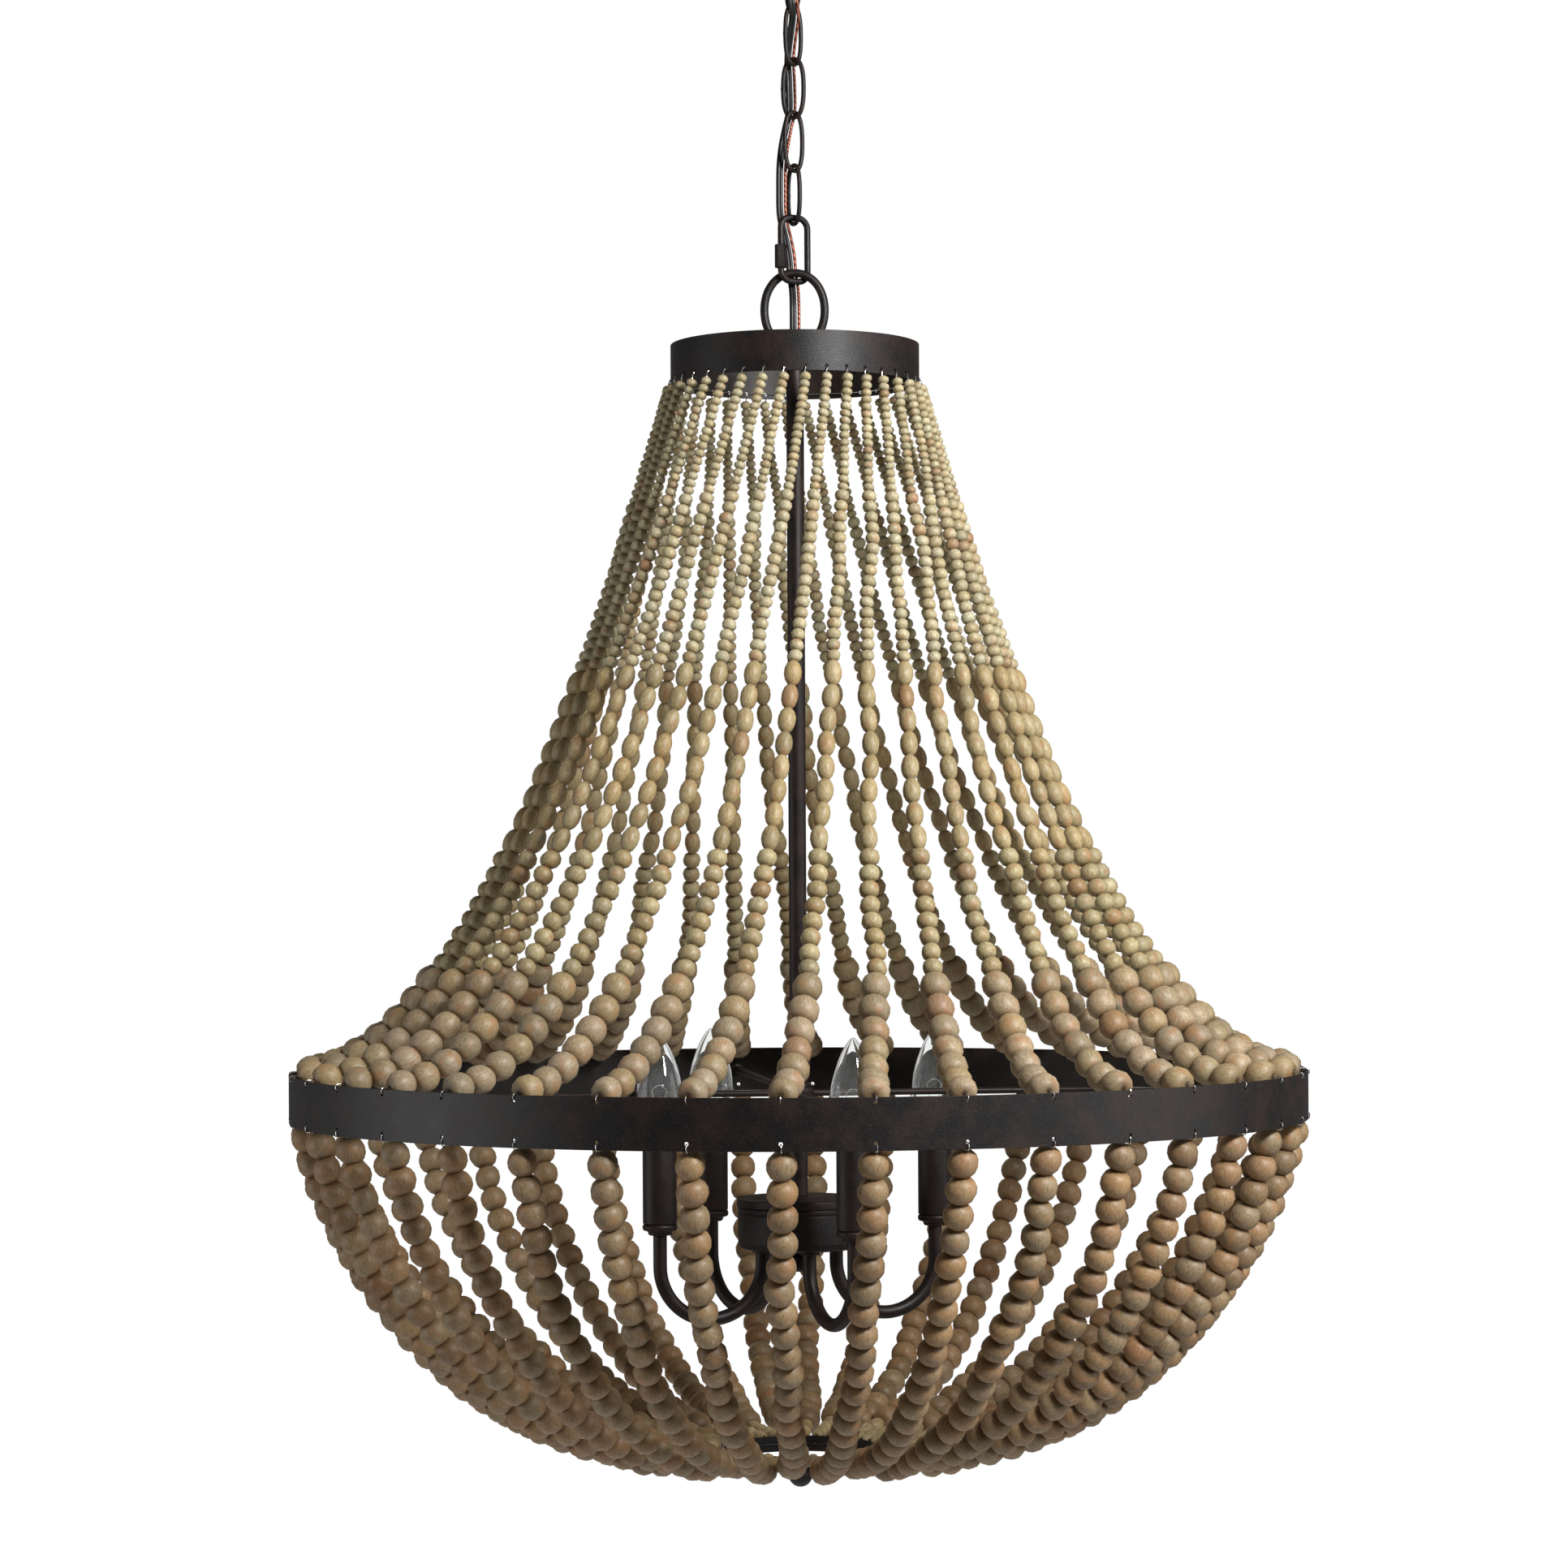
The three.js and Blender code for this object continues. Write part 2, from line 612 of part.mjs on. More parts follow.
function upperStrandTube(index) {
  const topAngle = topHoleAngle + (index * 360) / strandCount;
  const hoopAngle = hoopHoleAngle + ((index - strandTwistHoles) * 360) / strandCount;
  const start = fromFront(topBand.radius + upperStrand.startOut, topAngle, topHoleZ - upperStrand.startBelowHole);
  const end = fromFront(hoop.radius - upperStrand.endIn, hoopAngle, hoopUpperHoleZ + upperStrand.endAboveHole);
  const curve = strandCurve(start, end, upperStrand.fallPower, upperStrand.startPower);
  const run = beadRun(curve, upperBeads);
  const points = [
    fromFront(topLaceRadius, topAngle, topHoleZ),
    fromFront(topBand.radius + upperStrand.wireOut, topAngle, topHoleZ),
    ...run.points,
    fromFront(hoopWireRadius, hoopAngle, hoopUpperHoleZ),
    fromFront(hoop.radius - fit, hoopAngle, hoopUpperHoleZ),
  ];
  return sweptTube(points, [wireRadius, wireRadius, ...run.radii, wireRadius, wireRadius], strandSides);
}

function lowerStrandTube(index) {
  const angle = hoopHoleAngle + (index * 360) / strandCount;
  const start = fromFront(hoop.radius - lowerStrand.startIn, angle, hoopLowerHoleZ - lowerStrand.startBelowHole);
  const end = fromFront(bottomRing.radius + lowerStrand.endOut, angle, ringHoleZ + lowerStrand.endAboveHole);
  const curve = strandCurve(start, end, lowerStrand.fallPower, lowerStrand.startPower);
  const run = beadRun(curve, lowerBeads);
  const points = [
    fromFront(hoop.radius - fit, angle, hoopLowerHoleZ),
    fromFront(hoopWireRadius, angle, hoopLowerHoleZ),
    ...run.points,
    fromFront(bottomRing.radius + lowerStrand.wireOut, angle, ringHoleZ),
    fromFront(ringLaceRadius, angle, ringHoleZ),
  ];
  return sweptTube(points, [wireRadius, wireRadius, ...run.radii, wireRadius, wireRadius], strandSides);
}

// The wire that runs on from strand to strand behind a band's holes
function laceTube(radius, firstAngle, from, to, z) {
  const points = [];
  for (let index = from; index < to; index++) {
    points.push(fromFront(radius, firstAngle + (index * 360) / strandCount, z));
  }
  return sweptTube(points, points.map(() => laceRadius), 5);
}

function buildStrands() {
  for (let group = 0; group < strandGroups; group++) {
    const from = Math.round((group * strandCount) / strandGroups);
    const to = Math.round(((group + 1) * strandCount) / strandGroups);
    const indices = Array.from({ length: to - from }, (_, i) => from + i);
    const topLace = laceTube(topLaceRadius, topHoleAngle, from, to, topHoleZ);
    add(`upper_strands_${group + 1}`, join(topLace, ...indices.map(upperStrandTube)), wood);
    const ringLace = laceTube(ringLaceRadius, hoopHoleAngle, from, to, ringHoleZ);
    add(`lower_strands_${group + 1}`, join(ringLace, ...indices.map(lowerStrandTube)), wood);
  }
}

// Bottom ring's strap, and the ball whose stud goes up through it to a nut
function buildBottom() {
  const strapTop = bottomRingBottom + strap.thickness;
  const length = chordInside(bottomRing, strap.width);
  const bar = box(length, strap.width, strap.thickness, 0, 0, (strapTop + bottomRingBottom) / 2);
  add("bottom_strap", cut(bar, rod(ball.stud + fit, bottomRingBottom - overrun, strapTop + overrun)), bronze);
  const neckTop = bottomRingBottom - fit;
  const centre = neckTop - fit - ball.radius;
  const nutBottom = strapTop + fit;
  const nutTop = nutBottom + ball.nutHeight;
  const studTop = strapTop + ball.studHeight;
  const round = ballLatitudes.map((degrees) => {
    const angle = THREE.MathUtils.degToRad(degrees);
    return [Math.max(0, ball.radius * Math.cos(angle)), centre + ball.radius * Math.sin(angle)];
  });
  const profile = [
    ...round,
    [ball.neckRadius, neckTop],
    [ball.stud, neckTop],
    [ball.stud, nutBottom],
    [ball.nutRadius, nutBottom],
    [ball.nutRadius, nutTop],
    [ball.stud, nutTop],
    [ball.stud, studTop],
    [0, studTop],
  ];
  add("ball_finial", turned(profile, 12), bronze);
}

// Routes of the two cords, from the nipple through the chain and the ring into the stem
const powerRoute = [
  [-0.9, 0, -1.5], [-0.9, 0, -36], [-1.6, -2.4, -43], [-4.6, -5.8, -52], [-3.4, -6.8, -68], [-1.2, -7.2, -84],
  [-0.2, -5, -91], [-0.4, -2.2, -96], [-1.4, 0.6, -102], [-2.6, 4.8, -110], [-3.4, 6.8, -118.6], [-2.8, 6.2, -135],
  [-2.8, 6.8, -152], [-5, 6.4, -162], [-7.2, 4.4, -173], [-8.6, 1.6, -185.4], [-9, 1.2, -202], [-8.6, 1.6, -218.5],
  [-6, 4.8, -230], [-3.6, 6.8, -242], [-2.6, 7.2, -254], [-1.2, 3.8, -265], [-0.9, 0.6, -276], [-0.9, 0, -285],
  [-0.9, 0, -300],
];
const groundRoute = [
  [2.8, 0, -1.5], [2.8, 0, -36], [2, -2.6, -43], [-1, -6.2, -52], [0.2, -6.8, -68], [2.2, -7.7, -84],
  [3.4, -5.2, -91], [3.2, -1.8, -96], [2.2, 1.2, -102], [1, 5.4, -110], [0.2, 7, -118.6], [0.8, 6.4, -135],
  [0.8, 7, -152], [-1.4, 6.6, -162], [-3.4, 4.2, -173], [-5, 1.2, -185.4], [-5.3, 1, -202], [-5, 1, -218.5],
  [-2.4, 4.6, -230], [0, 6.8, -242], [1, 7.2, -254], [2.4, 3.8, -265], [2.8, 0.6, -276], [2.8, 0, -285],
  [2.8, 0, -300],
];

function cordTube(route, radii, sides) {
  const laced = route.map(([x, y, z]) => new THREE.Vector3(x, y, z));
  const curve = new THREE.CatmullRomCurve3(laced, false, "centripetal");
  const points = curve.getSpacedPoints(40);
  const last = points[points.length - 1].clone();
  points.push(last.setZ(lidBottom));
  return sweptTube(points, points.map(() => radii), sides, { across: new THREE.Vector3(0, 1, 0) });
}

function buildCords() {
  const flat = [powerCord.thickness / 2, powerCord.width / 2];
  add("power_cord", cordTube(powerRoute, flat, powerCord.sides), blackCord);
  add("ground_wire", cordTube(groundRoute, groundWire.radius, groundWire.sides), copper);
}

buildCeilingEnd();
buildChain();
buildQuickLink();
buildRingLoop();
buildBands();
buildFrame();
buildCluster();
buildStrands();
buildBottom();
buildCords();

export default root;
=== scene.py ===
import functools
import math

import bmesh
import bpy
import numpy as np
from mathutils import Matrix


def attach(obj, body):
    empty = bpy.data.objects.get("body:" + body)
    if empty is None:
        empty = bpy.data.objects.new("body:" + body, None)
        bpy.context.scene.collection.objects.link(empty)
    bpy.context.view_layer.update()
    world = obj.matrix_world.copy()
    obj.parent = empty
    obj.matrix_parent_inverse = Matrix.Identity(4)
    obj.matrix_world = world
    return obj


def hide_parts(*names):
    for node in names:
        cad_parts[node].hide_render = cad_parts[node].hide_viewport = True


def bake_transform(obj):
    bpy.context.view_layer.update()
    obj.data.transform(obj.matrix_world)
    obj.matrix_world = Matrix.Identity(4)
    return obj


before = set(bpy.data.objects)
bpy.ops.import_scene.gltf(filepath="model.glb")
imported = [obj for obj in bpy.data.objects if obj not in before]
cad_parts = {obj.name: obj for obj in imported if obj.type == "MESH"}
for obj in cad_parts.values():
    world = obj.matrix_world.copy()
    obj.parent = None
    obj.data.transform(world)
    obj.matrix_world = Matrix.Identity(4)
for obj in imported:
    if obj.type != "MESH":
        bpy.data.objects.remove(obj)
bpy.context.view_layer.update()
mm = 0.001
fullTurn = 2 * np.pi


# sRGB hex to linear, by the sRGB curve
def linearColour(hexColour):
    channels = np.array([int(hexColour[i : i + 2], 16) / 255 for i in (1, 3, 5)])
    linear = np.where(channels <= 0.04045, channels / 12.92, ((channels + 0.055) / 1.055) ** 2.4)
    return (*linear.tolist(), 1.0)


def placeObject(name, data):  # an object in the scene for a mesh, a lamp or the camera
    item = bpy.data.objects.new(name, data)
    bpy.context.scene.collection.objects.link(item)
    return item


# The camera, level and a little rolled, as the picture was taken; distance and height in metres
view = {
    "pictureSide": 1932,
    "focalPixels": 5013,
    "sensor": 36,
    "distance": 2.553,
    "height": -0.6287,
    "roll": 0.3,
    "shift": (-0.00857, 0.0547),
    "clipEnd": 60,
}
cameraData = bpy.data.cameras.new("pictureCamera")
cameraData.sensor_width = view["sensor"]
cameraData.lens = view["sensor"] * view["focalPixels"] / view["pictureSide"]
cameraData.shift_x, cameraData.shift_y = view["shift"]
cameraData.clip_end = view["clipEnd"]
camera = placeObject("pictureCamera", cameraData)
camera.location = (0, -view["distance"], view["height"])
camera.rotation_euler = (math.radians(90), math.radians(view["roll"]), 0)
bpy.context.scene.camera = camera
print("camera set")


# A mesh object in metres from points in millimetres and arrays of faces, each with one number of corners
def meshPiece(name, points, faceSets, smoothAngle=40):
    points = np.asarray(points, float).reshape(-1, 3) * mm
    loops = np.concatenate([faces.ravel() for faces in faceSets]).astype(np.int32)
    sizes = np.concatenate([np.full(len(faces), faces.shape[1]) for faces in faceSets]).astype(np.int32)
    mesh = bpy.data.meshes.new(name)
    mesh.vertices.add(len(points))
    mesh.vertices.foreach_set("co", points.ravel())
    mesh.loops.add(len(loops))
    mesh.loops.foreach_set("vertex_index", loops)
    mesh.polygons.add(len(sizes))
    mesh.polygons.foreach_set("loop_start", np.cumsum(sizes).astype(np.int32) - sizes)
    mesh.polygons.foreach_set("loop_total", sizes)
    mesh.update(calc_edges=True)
    mesh.validate()
    mesh.polygons.foreach_set("use_smooth", np.ones(len(mesh.polygons), bool))
    if smoothAngle:
        mesh.set_sharp_from_angle(angle=math.radians(smoothAngle))
    return placeObject(name, mesh)


# Quads of a grid of rows x columns, round each row: each joins a point to the next in its row and column
def gridFaces(rows, columns, closedRows=False):
    row = np.arange(rows if closedRows else rows - 1)[:, None]
    column = np.arange(columns)[None]
    here, below, beside = row * columns, (row + 1) % rows * columns, (column + 1) % columns
    return np.stack([here + column, here + beside, below + beside, below + column], axis=-1).reshape(-1, 4)


# The flat faces that close such a grid at its first and last row
def endFaces(rows, columns):
    return np.stack([np.arange(columns)[::-1], (rows - 1) * columns + np.arange(columns)])


# Faces repeated for copies of a shape, whose points follow each other
def copiedFaces(faces, copies, pointsEach, first=0):
    starts = first + np.arange(copies) * pointsEach
    return (faces[None] + starts[:, None, None]).reshape(-1, faces.shape[1])


# Corners of an outline eased by a small arc: a quadratic curve from one side of the corner to the other. An
# outline that starts on the axis keeps its two ends.
def easedOutline(corners, radius, steps=3):
    corners = np.asarray(corners, float)
    share = np.linspace(0, 1, steps + 1)[:, None]
    points = []
    for i, corner in enumerate(corners):
        if corners[0, 0] == 0 and i in (0, len(corners) - 1):
            points.append(corner[None])
            continue
        before, after = corners[i - 1] - corner, corners[(i + 1) % len(corners)] - corner
        lengths = np.linalg.norm(before), np.linalg.norm(after)
        reach = min(radius, 0.45 * lengths[0], 0.45 * lengths[1])
        a, b = corner + before / lengths[0] * reach, corner + after / lengths[1] * reach
        points.append((1 - share) ** 2 * a + 2 * share * (1 - share) * corner + share**2 * b)
    return np.concatenate(points)


# The outline of a tube wall: inner and outer radius between two heights
def ringOutline(inner, outer, low, high):
    return [[inner, low], [outer, low], [outer, high], [inner, high]]


# A turned piece: each [radius, height] of the outline goes round the vertical through a place. The outline
# of a hollow piece keeps off the axis and closes on itself; a solid one's starts and ends on the axis.
def turnedPiece(name, outline, place=(0, 0), sides=48, smoothAngle=40):
    outline = np.asarray(outline, float)
    angle = np.linspace(0, fullTurn, sides, endpoint=False)
    radius, height = outline[:, 0, None], outline[:, 1, None]
    x, y = place[0] + radius * np.cos(angle), place[1] + radius * np.sin(angle)
    points = np.stack([x, y, height + 0 * angle], axis=-1)
    piece = meshPiece(name, points, [gridFaces(len(outline), sides, outline[0, 0] > 0)], None)
    # Points that meet at a pole are merged, and the faces left facing outwards
    shape = bmesh.new()
    shape.from_mesh(piece.data)
    bmesh.ops.remove_doubles(shape, verts=shape.verts, dist=1e-6)
    bmesh.ops.dissolve_degenerate(shape, edges=shape.edges, dist=1e-7)
    bmesh.ops.recalc_face_normals(shape, faces=shape.faces)
    shape.to_mesh(piece.data)
    shape.free()
    piece.data.set_sharp_from_angle(angle=math.radians(smoothAngle))
    return piece


# Across a path: the guide made square to the path's direction, and the direction square to both
def pathSides(path, guide, closed=False):
    if closed:
        along = np.roll(path, -1, axis=-2) - np.roll(path, 1, axis=-2)
    else:
        along = np.gradient(path, axis=-2)
    along /= np.linalg.norm(along, axis=-1, keepdims=True)
    side = guide - np.sum(guide * along, axis=-1, keepdims=True) * along
    side /= np.linalg.norm(side, axis=-1, keepdims=True)
    return side, np.cross(along, side)


# Tubes: a section [along side, along third] carried along one path or several, with flat ends unless they
# close; scale widens it point by point
def sweptPiece(name, paths, section, guide=(0, 1, 0), closed=False, scale=1, smoothAngle=40):
    paths = np.asarray(paths, float)
    paths = paths.reshape(-1, *paths.shape[-2:])
    side, third = pathSides(paths, np.asarray(guide, float), closed)
    spread = side[:, :, None] * section[:, :1] + third[:, :, None] * section[:, 1:]
    tubes, count, sides = spread.shape[:3]
    points = paths[:, :, None] + spread * np.broadcast_to(scale, count)[:, None, None]
    faceSets = [gridFaces(count, sides, closed)] + ([] if closed else [endFaces(count, sides)])
    return meshPiece(name, points, [copiedFaces(f, tubes, count * sides) for f in faceSets], smoothAngle)


# A circle's points as [across, up], or an oval's in the upright plane: sine and cosine, each raised to a
# power of 2 / roundness and given its sign again
def circle(radius, sides=14):
    angle = np.linspace(0, fullTurn, sides, endpoint=False)
    return radius * np.stack([np.cos(angle), np.sin(angle)], axis=-1)


def oval(halfWidth, halfHeight, roundness, centre, samples):
    unit = circle(1, samples)[:, ::-1]
    x, z = (np.sign(unit) * np.abs(unit) ** (2 / roundness) * [halfWidth, halfHeight]).T
    return np.stack([x, 0 * x, centre + z], axis=-1)


# Points spaced evenly by length along a dense line
def evenPath(points, spacing, closed=False):
    points = np.concatenate([points, points[:1]]) if closed else np.asarray(points, float)
    along = np.concatenate([[0], np.cumsum(np.linalg.norm(np.diff(points, axis=0), axis=1))])
    target = np.linspace(0, along[-1], max(2, int(round(along[-1] / spacing)) + 1))
    even = np.stack([np.interp(target, along, points[:, i]) for i in range(3)], axis=-1)
    return even[:-1] if closed else even


# Centripetal spline through the route's points: between two points, cubic blends of the four nearest
def splineThrough(points, perSpan=24):
    points = np.asarray(points, float)
    padded = np.concatenate([2 * points[:1] - points[1:2], points, 2 * points[-1:] - points[-2:-1]])
    knots = np.concatenate([[0], np.cumsum(np.linalg.norm(np.diff(padded, axis=0), axis=1) ** 0.5)])
    spans = []
    for i in range(len(points) - 1):
        near, knot = padded[i : i + 4], knots[i : i + 4]
        t = np.linspace(knot[1], knot[2], perSpan, endpoint=False)[:, None]
        for pairs in (((0, 1), (1, 2), (2, 3)), ((0, 2), (1, 3)), ((1, 2),)):
            near = [
                ((knot[b] - t) * p + (t - knot[a]) * q) / (knot[b] - knot[a])
                for (a, b), p, q in zip(pairs, near, near[1:])
            ]
        spans.append(near[0])
    return np.concatenate([*spans, points[-1:]])


# Points turned about the middle's vertical, by one angle or by a column of angles, which gives a row for each
def turnAbout(points, degrees):
    angle = np.radians(degrees)
    x, y, z = np.moveaxis(np.asarray(points, float), -1, 0)
    cos, sin = np.cos(angle), np.sin(angle)
    return np.stack([x * cos - y * sin, x * sin + y * cos, z + 0 * angle], axis=-1)


# One shader node with its settings. An input is a value, a hex colour, a socket to link from, or a node,
# which stands for its first output in use. The stops are a colour ramp's two places and colours.
def addNode(tree, kind, inputs=None, settings=None, stops=()):
    node = tree.nodes.new("ShaderNode" + kind)
    for name, value in (settings or {}).items():
        setattr(node, name, value)
    for name, value in (inputs or {}).items():
        if isinstance(value, bpy.types.Node):
            value = next(output for output in value.outputs if output.enabled)
        if isinstance(value, bpy.types.NodeSocket):
            tree.links.new(value, node.inputs[name])
        else:
            node.inputs[name].default_value = linearColour(value) if isinstance(value, str) else value
    for i, (place, colour) in enumerate(stops):
        node.color_ramp.elements[i].position = place
        node.color_ramp.elements[i].color = linearColour(colour)
    return node


# The empty node tree of a material or world, as the function that adds a node to it
def newTree(owner):
    owner.use_nodes = True
    owner.node_tree.nodes.clear()
    return functools.partial(addNode, owner.node_tree)


def newMaterial(name):
    material = bpy.data.materials.new(name)
    return material, newTree(material)


# The material with its surface shader, given these inputs, on its output
def withSurface(material, inputs):
    shader = addNode(material.node_tree, "BsdfPrincipled", inputs)
    addNode(material.node_tree, "OutputMaterial", {"Surface": shader})
    return material


# A mix of two colours, inputs 6 and 7 of the node: blended, or the first darkened by the second
blended = {"data_type": "RGBA"}
darkened = {"data_type": "RGBA", "blend_type": "MULTIPLY"}


# Bronze powder coat: sprayed and baked, so it has an orange-peel grain that sparkles where light grazes it,
# and cloudy patches of red-brown in the near-black, 20 mm across. The sparkle is also painted in, as paler
# flecks on the grain's peaks. Grain is 0.5 mm on the real one, drawn at 0.8 so that it shows.
def powderCoat(name, dark, brown, patchShare, grainHeight=0.16):
    material, add = newMaterial(name)
    place = add("TexCoord").outputs["Object"]
    patch = add("TexNoise", {"Vector": place, "Scale": 45, "Detail": 6, "Roughness": 0.7})
    mask = add("MapRange", {"Value": patch, "From Min": 0.44, "From Max": 0.62, "To Max": patchShare})
    colour = add("Mix", {"Factor": mask, 6: dark, 7: brown}, blended)
    grain = add("TexNoise", {"Vector": place, "Scale": 1300, "Detail": 3, "Roughness": 0.6})
    # Painted sparkle: paler flecks where the grain peaks, in the colour under any light
    paintedSparkle = add("MapRange", {"Value": grain, "From Min": 0.56, "From Max": 0.68, "To Max": 0.22})
    colour = add("Mix", {"Factor": paintedSparkle, 6: colour, 7: "#5e5753"}, blended)
    bump = add("Bump", {"Height": grain, "Strength": 0.9, "Distance": grainHeight * mm})
    spread = {"From Min": 0.35, "From Max": 0.65, "To Min": 0.42, "To Max": 0.5}
    rough = add("MapRange", {"Value": patch, **spread})
    return withSurface(material, {"Base Color": colour, "Roughness": rough, "IOR": 1.42, "Normal": bump})


# Weathered hardwood beads: turned, stained grey over tan and left dry, so each has its own tone, streaks
# along its bore, orange bare patches and fine dark checks, and a soft satin light. The grain's place is in
# millimetres: streaks are 0.8 mm apart and 4 mm long, patches 9 mm across, and checks 0.5 mm apart. Towards
# its bore the colour is darkened by painted shade, where beads shade each other, with some stain in the
# joints, and the bore's mouth is painted as a dark shadow.
def weatheredWood():
    material, add = newMaterial("greyWashedWood")
    names = ("beadTone", "beadGrain", "boreShade")
    tone, grain, bore = [add("Attribute", settings={"attribute_name": name}) for name in names]
    grain, bore = grain.outputs["Vector"], bore.outputs["Fac"]
    place = add("Mapping", {"Vector": grain, "Scale": (1, 1, 0.22)})
    streak = add("TexNoise", {"Vector": place, "Scale": 1.2, "Detail": 6, "Roughness": 0.72})
    streakTone = add("ValToRGB", {"Fac": streak}, stops=[(0.35, "#a99c85"), (0.65, "#ffffff")])
    colour = add("Mix", {"Factor": 0.8, 6: tone, 7: streakTone}, darkened)
    bare = add("TexNoise", {"Vector": grain, "Scale": 0.11, "Detail": 2, "Roughness": 0.5})
    mask = add("MapRange", {"Value": bare, "From Min": 0.54, "From Max": 0.7, "To Max": 0.6})
    colour = add("Mix", {"Factor": mask, 6: colour, 7: "#a67850"}, blended)
    place = add("Mapping", {"Vector": grain, "Scale": (2.4, 2.4, 0.35)})
    check = add("TexNoise", {"Vector": place, "Scale": 0.9, "Detail": 3, "Roughness": 0.7})
    mask = add("MapRange", {"Value": check, "From Min": 0.62, "From Max": 0.7, "To Max": 0.6})
    colour = add("Mix", {"Factor": mask, 6: colour, 7: "#4b3a2a"}, blended)
    # Painted shade towards the bore, where neighbouring beads shade each other, with some stain in the joints
    colour = add("Mix", {"Factor": bore, 6: colour, 7: "#b3a68f"}, darkened)
    # Painted shadow in the bore's mouth, darkest at the bore
    paintedBoreShadow = add("Math", {0: bore, 1: 12}, {"operation": "POWER"})
    colour = add("Mix", {"Factor": paintedBoreShadow, 6: colour, 7: "#3b2d21"}, blended)
    bump = add("Bump", {"Height": streak, "Strength": 0.45, "Distance": 0.12 * mm})
    return withSurface(material, {"Base Color": colour, "Roughness": 0.49, "IOR": 1.48, "Normal": bump})


# Plated metal, with faint marks that change its gloss: on drawn nickel-plated wire they are its 1 mm draw
# lines, on zinc plate, brass and the lamps' bases the 3 mm bloom of the plating
def platedMetal(name, colour, scale=320, detail=4, roughness=(0.25, 0.45)):
    material, add = newMaterial(name)
    place = add("TexCoord").outputs["Object"]
    marks = add("TexNoise", {"Vector": place, "Scale": scale, "Detail": detail})
    rough = add("MapRange", {"Value": marks, "To Min": roughness[0], "To Max": roughness[1]})
    return withSurface(material, {"Base Color": colour, "Metallic": 1, "Roughness": rough})


# Clear soda-lime glass of a blown lamp: thin, smooth, with weak upright waves 4 mm apart in its reflections
def clearGlass():
    material, add = newMaterial("blownGlass")
    place = add("TexCoord").outputs["Object"]
    upright = add("Mapping", {"Vector": place, "Scale": (1, 1, 0.02)})
    wave = add("TexNoise", {"Vector": upright, "Scale": 260, "Detail": 0})
    bump = add("Bump", {"Height": wave, "Strength": 0.03, "Distance": 0.15 * mm})
    glass = {"Base Color": "#fbfdfd", "Roughness": 0, "IOR": 1.5, "Transmission Weight": 1}
    return withSurface(material, {**glass, "Normal": bump})


# Moulded vinyl of the twin lead: dark, with a low satin sheen and the slight drag marks of extrusion
def leadVinyl():
    material, add = newMaterial("extrudedVinyl")
    place = add("TexCoord").outputs["Object"]
    drag = add("TexNoise", {"Vector": place, "Scale": 400, "Detail": 2})
    rough = add("MapRange", {"Value": drag, "To Min": 0.36, "To Max": 0.52})
    colour = add("ValToRGB", {"Fac": drag}, stops=[(0.3, "#080707"), (0.7, "#110f0e")])
    return withSurface(material, {"Base Color": colour, "Roughness": rough, "IOR": 1.5})


# Copper ground wire, stranded: the twist of the strands shows as slanted bands 3.3 mm apart through its skin
def strandedCopper():
    material, add = newMaterial("strandedCopper")
    place = add("TexCoord").outputs["Object"]
    bands = {"wave_type": "BANDS", "bands_direction": "DIAGONAL"}
    twist = add("TexWave", {"Vector": place, "Scale": 190, "Distortion": 1.5, "Detail": 1}, bands)
    twist = twist.outputs["Fac"]
    colour = add("ValToRGB", {"Fac": twist}, stops=[(0.15, "#54261c"), (0.75, "#b96c54")])
    bump = add("Bump", {"Height": twist, "Strength": 0.5, "Distance": 0.2 * mm})
    return withSurface(material, {"Base Color": colour, "Metallic": 0.45, "Roughness": 0.38, "Normal": bump})


finishes = {  # each with the slot that it belongs to
    "bronze": (powderCoat("bronzePowderCoat", "#0b0807", "#2b1911", 0.6), "bronze"),
    "brownBronze": (powderCoat("brownPowderCoat", "#170f0e", "#30201a", 0.8, 0.1), "bronze"),
    "sleeve": (powderCoat("lacqueredSleeve", "#1b1413", "#2b1d18", 0.6, 0.03), "sleeve"),
    "wood": (weatheredWood(), "beads"),
    "wire": (platedMetal("nickelPlatedWire", "#d6d4d0", 900, 2, (0.14, 0.34)), "plated_steel"),
    "zinc": (platedMetal("zincPlatedSteel", "#a9a69c"), "plated_steel"),
    "brass": (platedMetal("lampSocketBrass", "#b39a62"), "socket"),
    "lampBase": (platedMetal("nickelLampBase", "#c9c6bf"), "bulb_glass"),
    "glass": (clearGlass(), "bulb_glass"),
    "lead": (leadVinyl(), "cord"),
    "copper": (strandedCopper(), "ground"),
}
print("materials made")


# A finished piece: its material, the body it rides on and the CAD node it stands for
def finishPiece(piece, finish, body=None, node=None):
    material, usualSlot = finishes[finish]
    piece.data.materials.clear()
    piece.data.materials.append(material)
    if body:
        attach(piece, body)
    if node:
        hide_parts(node)


# Turned pieces from a table: name, finish, CAD node, ease of the corners, sides, outline of [radius, height].
# A number is added to the name and the node.
def makeTurned(table, body, place=(0, 0), number=""):
    for name, finish, node, ease, sides, outline in table:
        piece = turnedPiece(name + number, easedOutline(outline, ease), place, sides)
        finishPiece(piece, finish, body, node and node + number)
